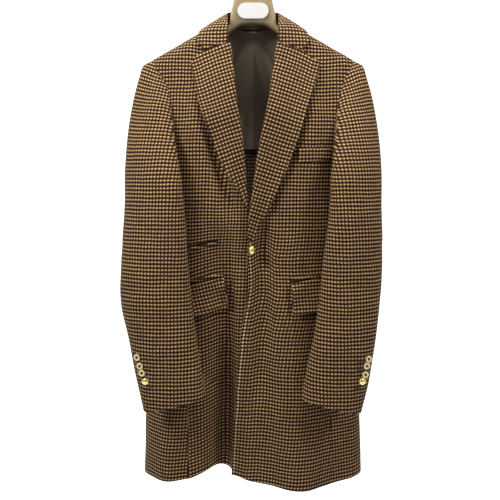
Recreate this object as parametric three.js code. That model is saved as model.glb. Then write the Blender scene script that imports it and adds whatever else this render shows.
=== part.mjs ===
// A single-breasted three-quarter coat in dotted wool jersey, hung on a broad suit hanger.
// Millimetres, +Z up. The front of the coat faces -Y and the wearer's left is +X.
// The origin is the inside top of the hook's bend, where a rail carries the hanger.
import * as THREE from "three";

// Cloth
const clothThickness = 2.4;
const liningThickness = 1.2;
const seamGap = 0.3;

// Shoulder line and neck
const neckHalfWidth = 60;
const neckHeight = -138;
const shoulderHalfWidth = 206;
const shoulderEndHeight = -219;
const shoulderSlope = 0.555;
const shoulderRidgeY = 5;
const neckDepthBack = 53;
const backNeckDrop = 12;
const shoulderRoundness = 30;
const shoulderForwardShare = 0.42;
const chestReach = 220;
const neckCurve = 0.8;

// Underarm and hem
const underarmHeight = -455;
const hemHeight = -1090;
const sectionPower = 2.5;

// Folds fade out towards the sides of the body, where the section has under this share of its depth
const foldSideShare = 0.45;
const backSeamRoom = 16;

// The right front lies behind the left one in the zone where they overlap
const overlap = { clearance: 9, xFull: -10, xNone: -52, zFull: -500, zNone: -380 };

// Cloth that lies on a steep part of another keeps at most this multiple of its lift in depth
const steepest = 2.2;

// Horizontal sections of the hanging body, from the shoulders down to the hem
const bodySections = [
  { z: -138, half: 216, front: -66, back: 74, side: 5 },
  { z: -300, half: 206, front: -67, back: 80, side: 8 },
  { z: -455, half: 186, front: -68, back: 84, side: 14 },
  { z: -600, half: 190, front: -66, back: 78, side: 16 },
  { z: -760, half: 204, front: -62, back: 80, side: 14 },
  { z: -920, half: 228, front: -60, back: 86, side: 8 },
  { z: -1090, half: 236, front: -60, back: 90, side: 2 },
];

// Rows of the panels from the shoulder line down, as shares of the height, close together where it rounds
const shoulderRows = [0, 0.002, 0.007, 0.015, 0.026, 0.042];
const lowerRowCount = 17;

// Large folds of the fronts and backs: a soft ridge (negative) or trough (positive) that runs
// from the top place to the bottom place and fades out over the given length past each end
const frontFolds = [
  { side: 1, xTop: 92, xLow: 97, top: -640, low: -1090, width: 52, deep: -4, deepLow: -36, fade: 130 },
  { side: 1, xTop: 18, xLow: 20, top: -620, low: -840, width: 20, deep: 15, deepLow: 13, fade: 110 },
  { side: 1, xTop: -40, xLow: -62, top: -980, low: -1090, width: 40, deep: 4, deepLow: 20, fade: 120 },
  { side: 1, xTop: 120, xLow: 128, top: -330, low: -420, width: 30, deep: -5, deepLow: -6, fade: 90 },
  { side: -1, xTop: -58, xLow: -64, top: -640, low: -1090, width: 30, deep: 20, deepLow: 44, fade: 120 },
  { side: -1, xTop: -170, xLow: -182, top: -760, low: -1090, width: 34, deep: -6, deepLow: -24, fade: 130 },
  { side: -1, xTop: -76, xLow: -52, top: -390, low: -500, width: 16, deep: 7, deepLow: 7, fade: 60 },
  { side: -1, xTop: -118, xLow: -122, top: -330, low: -640, width: 34, deep: -5, deepLow: -6, fade: 90 },
];
const backFolds = [
  { side: 1, xTop: 70, xLow: 92, top: -560, low: -1090, width: 40, deep: -5, deepLow: 14, fade: 130 },
  { side: 1, xTop: 20, xLow: 24, top: -700, low: -1090, width: 26, deep: -4, deepLow: -14, fade: 130 },
  { side: -1, xTop: -62, xLow: -82, top: -600, low: -1090, width: 42, deep: -4, deepLow: 16, fade: 130 },
  { side: -1, xTop: -130, xLow: -138, top: -760, low: -1090, width: 26, deep: -2, deepLow: -10, fade: 120 },
];

// The hem rises where the cloth goes back into the deep fold beside the overlap, and dips on the left
const hemWaves = [
  { side: -1, x: -80, width: 42, rise: 20 },
  { side: 1, x: -38, width: 22, rise: 6 },
  { side: 1, x: 60, width: 60, rise: -6 },
  { side: 1, x: 150, width: 56, rise: -8 },
];
const hemWaveFade = 14;

// Front edges: the roll line down to the button, then the edge of the overlap down to the hem
const frontEdges = {
  left: [
    { z: -138, x: 60 }, { z: -160, x: 55 }, { z: -188, x: 51 }, { z: -240, x: 44 }, { z: -303, x: 34 },
    { z: -362, x: 22 }, { z: -421, x: 11 }, { z: -480, x: 3 }, { z: -540, x: -6 }, { z: -600, x: -11 },
    { z: -680, x: -9 }, { z: -765, x: -23 }, { z: -894, x: -35 }, { z: -1006, x: -42 }, { z: -1090, x: -46 },
  ],
  right: [
    { z: -138, x: -60 }, { z: -160, x: -55 }, { z: -188, x: -49 }, { z: -244, x: -42 }, { z: -303, x: -36 },
    { z: -362, x: -26 }, { z: -441, x: -18 }, { z: -520, x: -8 }, { z: -580, x: 8 }, { z: -680, x: 20 },
    { z: -894, x: 12 }, { z: -1090, x: 4 },
  ],
};

// Armhole and side seams, as distances from the centre line
const frontSides = {
  left: [
    { z: shoulderEndHeight, x: shoulderHalfWidth },
    { z: -250, x: 190 }, { z: -280, x: 180 }, { z: -320, x: 170 }, { z: -370, x: 163 },
    { z: -425, x: 162 }, { z: -470, x: 160 }, { z: -700, x: 161 }, { z: -930, x: 162 }, { z: -1090, x: 166 },
  ],
  right: [
    { z: shoulderEndHeight, x: shoulderHalfWidth },
    { z: -250, x: 188 }, { z: -280, x: 172 }, { z: -320, x: 163 }, { z: -370, x: 158 },
    { z: -425, x: 156 }, { z: -470, x: 152 }, { z: -700, x: 140 }, { z: -930, x: 135 }, { z: -1090, x: 136 },
  ],
};
const backSides = [
  { z: shoulderEndHeight, x: shoulderHalfWidth },
  { z: -255, x: 190 }, { z: -300, x: 180 }, { z: -350, x: 173 }, { z: -420, x: 168 },
  { z: -470, x: 162 }, { z: -700, x: 158 }, { z: -1090, x: 172 },
];
const armholeSideHeight = -430;
const armholeSteps = 24;

// Lapels: the outer edge, from the lapel's point down to where it meets the front edge
const lapelEdges = {
  left: [
    { z: -227, x: 133 }, { z: -258, x: 128 }, { z: -290, x: 117 }, { z: -347, x: 99 }, { z: -400, x: 81 },
    { z: -443, x: 65 }, { z: -498, x: 40 }, { z: -549, x: 14 }, { z: -586, x: -4 },
  ],
  right: [
    { z: -225, x: -124 }, { z: -264, x: -117 }, { z: -313, x: -105 }, { z: -374, x: -83 },
    { z: -421, x: -65 }, { z: -453, x: -48 }, { z: -480, x: -30 }, { z: -518, x: -13 },
  ],
};
const gorgeHeight = -188;
const gorgeStart = 50;
const gorgeSlope = 0.33;
const gorgeGap = 0.9;
const notchX = 99;
const lapelLift = 5.4;
const lapelRollRoom = 2.4;
const lapelRollLift = 4.5;
const lapelRollEnds = { left: -578, right: -513 };
const lapelRollShare = 0.18;
const lapelRollRise = 3.2;
const lapelRollFoot = { from: -600, to: -575 };
// The roll gets smaller where the lapel is narrow, and the facing settles past it by shares of its width
const lapelRollSize = { least: 0.3, fullWidth: 50 };
const lapelSettle = { reach: 0.15, lift: 0.6 };
const lapelTopFade = 6;
const lapelAcross = [0, 0.06, 0.12, 0.18, 0.3, 0.45, 0.6, 0.7212, 0.86, 1];
const lapelRows = { count: 12, power: 1.2 };
const lapelRoll = [
  { z: 0, reach: 0, lift: -2.6 },
  { z: -1, reach: 3.2, lift: -0.6 },
  { z: -2, reach: 4.2, lift: 3.4 },
  { z: -3, reach: 2.4, lift: 7.6 },
];

// Collar: the fold round the neck and the outer edge of the fall, from a front end to the back
const collarRows = [
  { inX: 98, inY: -33.8, inZ: -203.2, outX: 114, outY: -29.5, outZ: -190 },
  { inX: 75, inY: -35.4, inZ: -195.6, outX: 112, outY: -27, outZ: -180 },
  { inX: 52, inY: -36.6, inZ: -188, outX: 112, outY: -23.5, outZ: -174 },
  { inX: 53, inY: -33, inZ: -158, outX: 110, outY: -14, outZ: -166 },
  { inX: 55, inY: -10, inZ: -131, outX: 105, outY: 5, outZ: -158 },
  { inX: 51, inY: 18, inZ: -121, outX: 92, outY: 36, outZ: -162 },
  { inX: 36, inY: 44, inZ: -116, outX: 62, outY: 66, outZ: -167 },
  { inX: 18, inY: 57, inZ: -113, outX: 30, outY: 76, outZ: -169 },
  { inX: 0, inY: 61, inZ: -112, outX: 0, outY: 79, outZ: -170 },
];
const collarCrown = { out: 2, rise: 2.6 };
const standLean = 0.4;
const standRows = [
  { x: 55, y: -10, low: -146, high: -141, lean: 0 },
  { x: 58, y: 6, low: -137.4, high: -132, lean: -3 },
  { x: 49, y: 26, low: -141, high: -124.5, lean: -3 },
  { x: 30, y: 46, low: -146, high: -121, lean: -3 },
  { x: 0, y: 58, low: -149.4, high: -118, lean: -1 },
];

// Sleeves: sections from below the underarm to the cuff. outer and inner are distances from the
// centre line, tilt is how far the outer edge lies behind the inner one, deep is half the thickness
const sleeveSections = {
  left: [
    { z: -470, drop: -18, outer: 260, inner: 152, y: -57.5, tilt: 24, deep: 44.5 },
    { z: -540, drop: -8, outer: 260, inner: 148, y: -66.5, tilt: 18, deep: 45.5 },
    { z: -625, drop: 0, outer: 260, inner: 138, y: -75, tilt: 13, deep: 46 },
    { z: -700, drop: 4, outer: 255, inner: 132, y: -81.5, tilt: 9, deep: 44.5 },
    { z: -780, drop: 8, outer: 244, inner: 120, y: -90.5, tilt: 5, deep: 41 },
    { z: -850, drop: 11, outer: 231, inner: 106, y: -98, tilt: 1, deep: 36 },
    { z: -908, drop: 14, outer: 216, inner: 97, y: -103, tilt: -2, deep: 32 },
  ],
  right: [
    { z: -470, drop: -18, outer: 258, inner: 138, y: -60, tilt: 24, deep: 43 },
    { z: -540, drop: -8, outer: 260, inner: 133, y: -68, tilt: 18, deep: 43 },
    { z: -625, drop: 0, outer: 265, inner: 128, y: -76, tilt: 13, deep: 43 },
    { z: -700, drop: 4, outer: 265, inner: 122, y: -82, tilt: 9, deep: 41 },
    { z: -780, drop: 8, outer: 247, inner: 113, y: -88, tilt: 5, deep: 38 },
    { z: -850, drop: 11, outer: 233, inner: 102, y: -94, tilt: 1, deep: 35 },
    { z: -906, drop: 14, outer: 219, inner: 95, y: -99, tilt: -2, deep: 32 },
  ],
};
const sleeveFolds = [
  { side: 1, angle: 100, top: -560, bottom: -740, width: 26, deep: -3 },
  { side: 1, angle: 40, top: -640, bottom: -800, width: 24, deep: -2 },
  { side: -1, angle: 70, top: -600, bottom: -780, width: 24, deep: -3.5 },
  { side: -1, angle: 130, top: -650, bottom: -860, width: 26, deep: 3 },
];
const sleevePower = 2.3;
const sleeveCapShare = 0.34;
const sleevePitch = 0.16;
const sleeveLead = 0.12;
const backSeamAngle = -24;
const frontSeamAngle = 150;
const armholeGap = 1.3;
const underarmGap = 4.2;
const armholeCrown = 1;
const armholeProud = 2.4;
// How the cap of a sleeve leaves the armhole: outwards at the top and back, forwards at the front
const capLeave = {
  across: 0.4, acrossMore: 0.6, acrossFront: -0.12,
  forward: 0.7, down: 0.34, downMore: 0.95,
};
const capFront = { from: 0.1, full: 0.25, fade: 0.5, to: 0.62 };
const capStretch = { leave: 0.9, leaveTop: 0.56, arrive: 0.85, arriveTop: 0.55, arriveForward: 0.06 };
const capHead = { out: 6, at: 0.11, width: 0.1 };
const crownShare = 0.14;
const seamGapAngle = 0.16;
const capSeamGapAngle = 1.3;
const capSeamNarrows = 0.6;

// Pockets: flaps by their corners, jets and welts by their top edge
const flapThickness = 2;
const flapClear = 1.1;
const flaps = {
  left: { inTop: [78, -672], inBottom: [84, -731], outTop: [160, -662], outBottom: [165, -724] },
  right: { inTop: [-59, -664], inBottom: [-52, -719], outTop: [-134, -674], outBottom: [-133, -738] },
};
const strips = {
  jet_left: { side: 1, inner: [76, -661], outer: [160, -651], height: 7, thick: 1.6, clear: 1, rows: 1 },
  jet_right: { side: -1, inner: [-61, -651], outer: [-136, -662], height: 7, thick: 1.6, clear: 1, rows: 1 },
  ticket_jet: { side: -1, inner: [-72, -584], outer: [-138, -599], height: 7, thick: 1.6, clear: 1, rows: 1 },
  breast_welt: { side: 1, inner: [90, -400], outer: [158, -393], height: 26, thick: 2, clear: 0.8, rows: 2 },
};

// Buttons
const frontButton = { x: -4, z: -600, diameter: 20, height: 8, clear: 2, tilt: [-0.72, -0.68, 0.08] };
const sleeveButtonDiameter = 14.4;
const sleeveButtonThickness = 3.6;
const sleeveButtonHole = 4.6;
const sleeveButtonHeights = [-808, -823, -838, -854];
const sleeveButtonInsets = { left: [15.5, 16.5, 16, 18], right: [16, 18, 20, 21.5] };
// Height of a cuff button's near rim above the sleeve, before the sleeve curves away from it
const sleeveButtonClear = -0.4;
const sleeveButtonForward = 0.5;
const sleeveDomeHeight = 6;
const buttonSides = 16;
// Where on the cuff a seat is looked for, as shares round and along the sleeve
const seatSearch = {
  turnFrom: 0.02, turnTo: 0.24, turnStep: 0.002,
  alongFrom: 0.6, alongStep: 0.005, near: 1.6,
};

// Hanger: stations from the middle of the neck to the end of an arm
const hangerStations = [
  { x: 0, top: -62, bottom: -148, breadth: 34, y: 2 },
  { x: 22, top: -63, bottom: -150, breadth: 34, y: 2 },
  { x: 32, top: -70, bottom: -154, breadth: 32, y: 2 },
  { x: 37, top: -86, bottom: -157, breadth: 30, y: 2 },
  { x: 40, top: -108, bottom: -159, breadth: 30, y: 2 },
  { x: 45, top: -128, bottom: -162, breadth: 30, y: 3 },
  { x: 48, top: -149, bottom: -165, breadth: 28, y: 3 },
  { x: 60, top: -152, bottom: -170, breadth: 28, y: 4 },
  { x: 90, top: -158.4, bottom: -186, breadth: 32, y: 5 },
  { x: 130, top: -180.4, bottom: -208, breadth: 33, y: 5 },
  { x: 165, top: -199.8, bottom: -227, breadth: 30, y: 5 },
  { x: 182, top: -209.4, bottom: -234, breadth: 24, y: 5 },
  { x: 188, top: -215, bottom: -231, breadth: 14, y: 5 },
];
const hangerSectionSides = 12;
const hookWire = 4.2;
const hookBendRadius = 22;
const hookFoot = -61.6;
const hookArc = { from: -56, to: 184 };
const hookArcSteps = 16;
const hookShank = [
  { x: 0, y: 2, rise: 0 },
  { x: 0, y: 1.6, rise: 5 },
  { x: 2.5, y: 1, rise: 10.5 },
];
const hookSides = 8;
const hookSteps = 34;
const plate = { width: 62, thickness: 1.6, z: -125, corner: 15.4, curveSegments: 10 };

// Half lining of the back
const lining = {
  half: 150, hem: -397, clear: 5.6, pleatHalf: 9, pleatFlat: 3.6, pleatDepth: 3,
  topDrop: 3, shoulderDrop: 32, dropFrom: 34, dropTo: 66,
};

const clothFinish = new THREE.MeshStandardMaterial({ color: 0x5a4a36, roughness: 0.95, metalness: 0 });
const collarFinish = new THREE.MeshStandardMaterial({ color: 0x54452f, roughness: 0.95, metalness: 0 });
const liningFinish = new THREE.MeshStandardMaterial({ color: 0x2a2724, roughness: 0.5, metalness: 0 });
const hangerFinish = new THREE.MeshStandardMaterial({ color: 0x968259, roughness: 0.45, metalness: 0 });
const plateFinish = new THREE.MeshStandardMaterial({ color: 0xf1efe8, roughness: 0.35, metalness: 0 });
const hookFinish = new THREE.MeshStandardMaterial({ color: 0xb9b9b6, roughness: 0.28, metalness: 1 });
const goldFinish = new THREE.MeshStandardMaterial({ color: 0xc79a4b, roughness: 0.32, metalness: 1 });
const ringFinish = new THREE.MeshStandardMaterial({ color: 0x8f8b7a, roughness: 0.4, metalness: 1 });

const coat = new THREE.Group();

const lerp = THREE.MathUtils.lerp;
const smooth = (low, high, value) => THREE.MathUtils.smoothstep(value, low, high);

// The value of one column of a table at a height, on a smooth curve through the rows
function at(table, column, z) {
  let i = 0;
  while (i < table.length - 2 && z < table[i + 1].z) i += 1;
  const a = table[i];
  const b = table[i + 1];
  const before = table[Math.max(i - 1, 0)];
  const after = table[Math.min(i + 2, table.length - 1)];
  const t = THREE.MathUtils.clamp((z - a.z) / (b.z - a.z), 0, 1);
  const run = b.z - a.z;
  const slopeA = (b[column] - before[column]) / (b.z - before.z);
  const slopeB = (after[column] - a[column]) / (after.z - a.z);
  const t2 = t * t;
  const t3 = t2 * t;
  return (
    (2 * t3 - 3 * t2 + 1) * a[column] + (t3 - 2 * t2 + t) * run * slopeA +
    (3 * t2 - 2 * t3) * b[column] + (t3 - t2) * run * slopeB
  );
}

// Height of the shoulder line, and of the back neckline between the neck points
function topLine(x) {
  const reach = Math.abs(x);
  if (reach >= neckHalfWidth) return neckHeight - shoulderSlope * (reach - neckHalfWidth);
  return neckHeight - backNeckDrop * (1 - (reach / neckHalfWidth) ** 2);
}

// Depth of the ridge where front and back meet, and of the neckline behind the neck
function ridgeDepth(x) {
  const share = Math.min(Math.abs(x) / neckHalfWidth, 1);
  return shoulderRidgeY + neckDepthBack * (1 - share * share) ** neckCurve;
}

// Share of the full depth of the section reached at a distance below the shoulder line
function depthShare(below) {
  const t = THREE.MathUtils.clamp(below / shoulderRoundness, 0, 1);
  const rounded = Math.sqrt(1 - (1 - t) * (1 - t));
  return shoulderForwardShare * rounded + (1 - shoulderForwardShare) * smooth(0, chestReach, below);
}

function foldDepth(folds, side, x, z) {
  let total = 0;
  for (const fold of folds) {
    if (fold.side !== side) continue;
    const t = THREE.MathUtils.clamp((z - fold.top) / (fold.low - fold.top), 0, 1);
    const past = Math.max(z - fold.top, fold.low - z, 0);
    const near = (x - lerp(fold.xTop, fold.xLow, t)) / fold.width;
    total += lerp(fold.deep, fold.deepLow, t) * Math.exp(-near * near) * (1 - smooth(0, fold.fade, past));
  }
  return total;
}

// Share of the side-to-front depth that the section keeps at a distance from the centre
function sectionShare(x, half) {
  const reach = Math.min(Math.abs(x) / half, 1);
  return (1 - reach ** sectionPower) ** (1 / sectionPower);
}

function ownFrontY(side, x, z) {
  const half = at(bodySections, "half", z);
  const edge = at(bodySections, "side", z);
  const share = sectionShare(x, half);
  const full = edge + (at(bodySections, "front", z) - edge) * share;
  const below = neckHeight - shoulderSlope * (Math.abs(x) - neckHalfWidth) - z;
  const folds = foldDepth(frontFolds, side, x, z) * smooth(0, foldSideShare, share);
  return lerp(shoulderRidgeY, full + folds, depthShare(below));
}

function frontY(side, x, z) {
  const own = ownFrontY(side, x, z);
  if (side > 0) return own;
  const lapped = smooth(overlap.xNone, overlap.xFull, x) * (1 - smooth(overlap.zFull, overlap.zNone, z));
  return lerp(own, ownFrontY(1, x, z) + overlap.clearance, lapped);
}

function backY(side, x, z) {
  const half = at(bodySections, "half", z);
  const edge = at(bodySections, "side", z);
  const share = sectionShare(x, half);
  const full = edge + (at(bodySections, "back", z) - edge) * share;
  const seamShare = smooth(0, backSeamRoom, Math.abs(x));
  const folds = foldDepth(backFolds, side, x, z) * smooth(0, foldSideShare, share) * seamShare;
  return lerp(ridgeDepth(x), full + folds, depthShare(topLine(x) - z));
}

// The depth of a point that lies a real distance off the surface, which slopes as well as turns
function liftedY(surfaceY, side, x, z, lift) {
  const step = 0.5;
  const slopeX = (surfaceY(side, x + step, z) - surfaceY(side, x - step, z)) / (2 * step);
  const slopeZ = (surfaceY(side, x, z + step) - surfaceY(side, x, z - step)) / (2 * step);
  return surfaceY(side, x, z) + lift * Math.min(Math.hypot(1, slopeX, slopeZ), steepest);
}

// A wall of cloth: outer points on a grid of the surface, inner points moved in along the normals
function clothWall(name, finish, surface, across, down, thickness, outward) {
  const step = 1e-4;
  const outer = [];
  const inner = [];
  for (const v of down) {
    for (const u of across) {
      const point = surface(u, v);
      const alongU = surface(Math.min(u + step, 1), v).sub(surface(Math.max(u - step, 0), v));
      const alongV = surface(u, Math.min(v + step, 1)).sub(surface(u, Math.max(v - step, 0)));
      const normal = alongU.cross(alongV).normalize().multiplyScalar(outward * thickness);
      outer.push(point);
      inner.push(point.clone().sub(normal));
    }
  }
  return shellMesh(name, finish, outer, inner, across.length, outward);
}

function shellMesh(name, finish, outer, inner, columns, outward) {
  const rows = outer.length / columns;
  const count = outer.length;
  const faces = [];
  const quad = (a, b, c, d) => {
    if (outward > 0) faces.push(a, b, c, a, c, d);
    else faces.push(a, c, b, a, d, c);
  };
  const id = (i, j) => j * columns + i;
  for (let j = 0; j < rows - 1; j += 1) {
    for (let i = 0; i < columns - 1; i += 1) {
      quad(id(i, j), id(i + 1, j), id(i + 1, j + 1), id(i, j + 1));
      quad(count + id(i, j), count + id(i, j + 1), count + id(i + 1, j + 1), count + id(i + 1, j));
    }
    quad(id(0, j), id(0, j + 1), count + id(0, j + 1), count + id(0, j));
    const side = id(columns - 1, j);
    quad(side + columns, side, count + side, count + side + columns);
  }
  for (let i = 0; i < columns - 1; i += 1) {
    quad(id(i + 1, 0), id(i, 0), count + id(i, 0), count + id(i + 1, 0));
    quad(id(i, rows - 1), id(i + 1, rows - 1), count + id(i + 1, rows - 1), count + id(i, rows - 1));
  }
  const positions = outer.concat(inner).flatMap((p) => [p.x, p.y, p.z]);
  const geometry = new THREE.BufferGeometry();
  geometry.setAttribute("position", new THREE.Float32BufferAttribute(positions, 3));
  geometry.setIndex(faces);
  return addMesh(name, finish, geometry);
}

function addMesh(name, finish, geometry) {
  const mesh = new THREE.Mesh(geometry, finish);
  mesh.name = name;
  coat.add(mesh);
  return mesh;
}

const even = (count) => Array.from({ length: count + 1 }, (_, i) => i / count);

// Height that the hem's waves add at a place on one side of the coat
function hemWave(side, x) {
  let total = 0;
  for (const wave of hemWaves) {
    const near = (x - wave.x) / wave.width;
    if (wave.side === side) total += wave.rise * Math.exp(-near * near);
  }
  return total;
}

// Fronts: from the roll line or front edge across to the armhole or side seam
function frontSurface(side) {
  const word = side > 0 ? "left" : "right";
  return (u, v) => {
    const innerZ = lerp(neckHeight, hemHeight, v);
    const outerZ = lerp(shoulderEndHeight, hemHeight, v);
    const room = seamGap + lapelRollRoom * smooth(lapelRollFoot.from, lapelRollFoot.to, innerZ);
    const innerX = at(frontEdges[word], "x", innerZ) + side * room;
    const outerX = side * (at(frontSides[word], "x", outerZ) - seamGap);
    const x = lerp(innerX, outerX, u);
    const z = lerp(innerZ, outerZ, u) + hemWave(side, x) * v ** hemWaveFade;
    return new THREE.Vector3(x, frontY(side, x, z) - seamGap / 2, z);
  };
}

function backSurface(side) {
  return (u, v) => {
    const outerZ = lerp(shoulderEndHeight, hemHeight, v);
    const outerX = at(backSides, "x", outerZ) - seamGap;
    const reach = lerp(seamGap / 2, outerX, u);
    const top = topLine(lerp(seamGap / 2, shoulderHalfWidth, u));
    const x = side * reach;
    const z = lerp(top, hemHeight, v);
    return new THREE.Vector3(x, backY(side, x, z) + seamGap / 2, z);
  };
}

// Angle round the section at which it reaches x, from 0 at the front to half a turn at the back
function frontAngle(x, z) {
  return Math.asin(Math.min(Math.abs(x) / at(bodySections, "half", z), 1) ** (sectionPower / 2));
}

function sectionPoint(side, angle, z) {
  const half = at(bodySections, "half", z);
  const x = side * half * Math.sin(angle) ** (2 / sectionPower);
  const y = angle < Math.PI / 2 ? frontY(side, x, z) : backY(side, x, z);
  return new THREE.Vector3(x, y, z);
}

// Side panels: under the armhole, from the front's seam round to the back's
function sideTop(u) {
  return armholeSideHeight + (underarmHeight - armholeSideHeight) * Math.sin(Math.PI * u);
}

function sideSurface(side) {
  const word = side > 0 ? "left" : "right";
  return (u, v) => {
    const hem = hemHeight + hemWave(side, side * at(frontSides[word], "x", hemHeight)) * (1 - u) ** 2;
    const z = lerp(sideTop(u) - seamGap, hem, v);
    const start = frontAngle(at(frontSides[word], "x", z) + seamGap, z);
    const end = Math.PI - frontAngle(at(backSides, "x", z) + seamGap, z);
    return sectionPoint(side, lerp(start, end, u), z);
  };
}

// The armhole as a closed line: down the front, along the top of the side panel and up the back
function armholeLine(side) {
  const word = side > 0 ? "left" : "right";
  const points = [];
  for (let i = 0; i <= armholeSteps; i += 1) {
    const z = lerp(shoulderEndHeight, armholeSideHeight, i / armholeSteps);
    const x = side * at(frontSides[word], "x", z);
    points.push(new THREE.Vector3(x, frontY(side, x, z), z));
  }
  const under = sideSurface(side);
  for (let i = 1; i < armholeSteps; i += 1) points.push(under(i / armholeSteps, 0));
  for (let i = 0; i <= armholeSteps; i += 1) {
    const z = lerp(armholeSideHeight, shoulderEndHeight, i / armholeSteps);
    const x = side * at(backSides, "x", z);
    points.push(new THREE.Vector3(x, backY(side, x, z), z));
  }
  return new THREE.CatmullRomCurve3(points, false, "centripetal");
}

// Sleeves: angle 0 at the outer edge, a quarter turn at the front, half a turn at the inner edge
function sleeveSurface(side) {
  const word = side > 0 ? "left" : "right";
  const rows = sleeveSections[word];
  const armhole = armholeLine(side);
  const first = rows[0].z;
  const last = rows[rows.length - 1].z;
  const ring = (angle, z) => {
    const outer = at(rows, "outer", z);
    const inner = at(rows, "inner", z);
    const cos = Math.cos(angle);
    const sin = Math.sin(angle);
    const wide = Math.sign(cos) * Math.abs(cos) ** (2 / sleevePower);
    const deep = Math.sign(sin) * Math.abs(sin) ** (2 / sleevePower);
    let bulge = 0;
    for (const fold of sleeveFolds) {
      if (fold.side !== side) continue;
      const near = (THREE.MathUtils.radToDeg(angle) - fold.angle) / fold.width;
      const middle = (fold.top + fold.bottom) / 2;
      const along = (z - middle) / ((fold.top - fold.bottom) / 2);
      bulge += fold.deep * Math.exp(-near * near - along * along);
    }
    return new THREE.Vector3(
      side * (outer + inner + (outer - inner) * wide) / 2,
      at(rows, "y", z) + at(rows, "tilt", z) * wide - (at(rows, "deep", z) - bulge) * deep,
      z - at(rows, "drop", z) * wide,
    );
  };
  const start = (turn) => {
    const share = turn - sleevePitch * Math.sin(Math.PI * turn) ** 2;
    const point = armhole.getPointAt(THREE.MathUtils.clamp(share, 0, 1));
    const under = (1 - Math.cos(2 * Math.PI * share)) / 2;
    const faceOut = -armholeProud * Math.sin(2 * Math.PI * share);
    const crown = armholeCrown * (1 - smooth(0, crownShare, Math.min(share, 1 - share)));
    return point.add(new THREE.Vector3(side * (armholeGap + underarmGap * under ** 2), faceOut, crown));
  };
  return (turn, v) => {
    const whole = ((turn % 1) + 1) % 1;
    const angle = (whole + sleeveLead * Math.sin(Math.PI * whole) ** 2) * 2 * Math.PI;
    const down = (v - sleeveCapShare) / (1 - sleeveCapShare);
    if (down >= 0) return ring(angle, lerp(first, last, down));
    const t = v / sleeveCapShare;
    const from = start(whole);
    const to = ring(angle, first);
    const span = from.distanceTo(to);
    const low = (1 - Math.cos(angle)) / 2;
    const pastFront = smooth(capFront.fade, capFront.to, whole);
    const front = smooth(capFront.from, capFront.full, whole) * (1 - pastFront);
    const outward = capLeave.across + capLeave.acrossMore * Math.abs(Math.cos(angle));
    const across = lerp(outward, capLeave.acrossFront, front);
    const forward = -capLeave.forward * lerp(Math.sin(angle), 1, front);
    const leave = new THREE.Vector3(side * across, forward, -capLeave.down - capLeave.downMore * low);
    const top = ((1 + Math.cos(angle)) / 2) ** 2;
    leave.normalize().multiplyScalar(span * lerp(capStretch.leave, capStretch.leaveTop, top));
    const arrive = new THREE.Vector3(0, -capStretch.arriveForward, -1);
    arrive.multiplyScalar(span * lerp(capStretch.arrive, capStretch.arriveTop, top));
    const t2 = t * t;
    const t3 = t2 * t;
    const head = capHead.out * top * Math.exp(-(((t - capHead.at) / capHead.width) ** 2)) * smooth(0, capHead.at, t);
    return new THREE.Vector3(side * head, 0, 0)
      .addScaledVector(from, 2 * t3 - 3 * t2 + 1)
      .addScaledVector(leave, t3 - 2 * t2 + t)
      .addScaledVector(to, 3 * t2 - 2 * t3)
      .addScaledVector(arrive, t3 - t2);
  };
}

// Height of the gorge seam between collar and lapel
function gorgeLine(reach) {
  return gorgeHeight - gorgeSlope * (reach - gorgeStart);
}

// Lapels: a roll along the roll line, then the facing folded back over the front
function lapelSurface(side) {
  const word = side > 0 ? "left" : "right";
  const edge = lapelEdges[word];
  const pointZ = edge[0].z;
  const tipZ = edge[edge.length - 1].z;
  const rollStart = lapelRoll[0].lift;
  const rollTravel = lapelRoll[lapelRoll.length - 1].lift - rollStart;
  return (u, v) => {
    const rollZ = lerp(gorgeHeight, lapelRollEnds[word], v);
    const edgeZ = lerp(pointZ, tipZ, v);
    const rollX = at(frontEdges[word], "x", rollZ);
    const edgeX = at(edge, "x", edgeZ);
    const width = Math.abs(edgeX - rollX);
    const size = Math.min(1, lapelRollSize.least + width / lapelRollSize.fullWidth);
    const flat = THREE.MathUtils.clamp((u - lapelRollShare) / (1 - lapelRollShare), 0, 1);
    const curl = -(lapelRoll.length - 1) * THREE.MathUtils.clamp(u / lapelRollShare, 0, 1);
    const inward = at(lapelRoll, "reach", curl) * size * (1 - smooth(0, lapelSettle.reach, flat));
    const settledShare = smooth(0, lapelSettle.lift, flat);
    const settled = lerp(lapelRollLift + lapelRollRise * size, lapelLift, settledShare);
    const risen = (at(lapelRoll, "lift", curl) - rollStart) / rollTravel;
    const lift = flat > 0 ? settled : lerp(rollStart, settled, risen);
    const topX = lerp(Math.abs(at(frontEdges[word], "x", gorgeHeight)), Math.abs(edge[0].x), flat);
    const past = (topX - notchX) / (Math.abs(edge[0].x) - notchX);
    const seamZ = gorgeLine(Math.min(topX, notchX)) - gorgeGap;
    const topZ = topX < notchX ? seamZ : lerp(seamZ, pointZ, past);
    const x = lerp(rollX, edgeX, flat) - side * (inward + seamGap);
    const z = lerp(rollZ, edgeZ, flat) + (topZ - lerp(gorgeHeight, pointZ, flat)) * (1 - v) ** lapelTopFade;
    return new THREE.Vector3(x, liftedY(frontY, side, x, z, -lift), z);
  };
}

// Collar fall: over the fronts at its ends and over the back neck between them
function collarSurface() {
  const table = collarRows.map((row, i) => ({ z: -i, ...row }));
  const lastRow = collarRows.length - 1;
  return (u, v) => {
    const turn = u * 2 - 1;
    const side = turn < 0 ? -1 : 1;
    const place = -(1 - Math.abs(turn)) * lastRow;
    const column = (name) => at(table, name, place);
    const crown = 4 * v * (1 - v);
    const outward = (crown * collarCrown.out * column("inY")) / neckHalfWidth;
    return new THREE.Vector3(
      side * lerp(column("inX"), column("outX"), v),
      lerp(column("inY"), column("outY"), v) + outward,
      lerp(column("inZ"), column("outZ"), v) + crown * collarCrown.rise,
    );
  };
}

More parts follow.
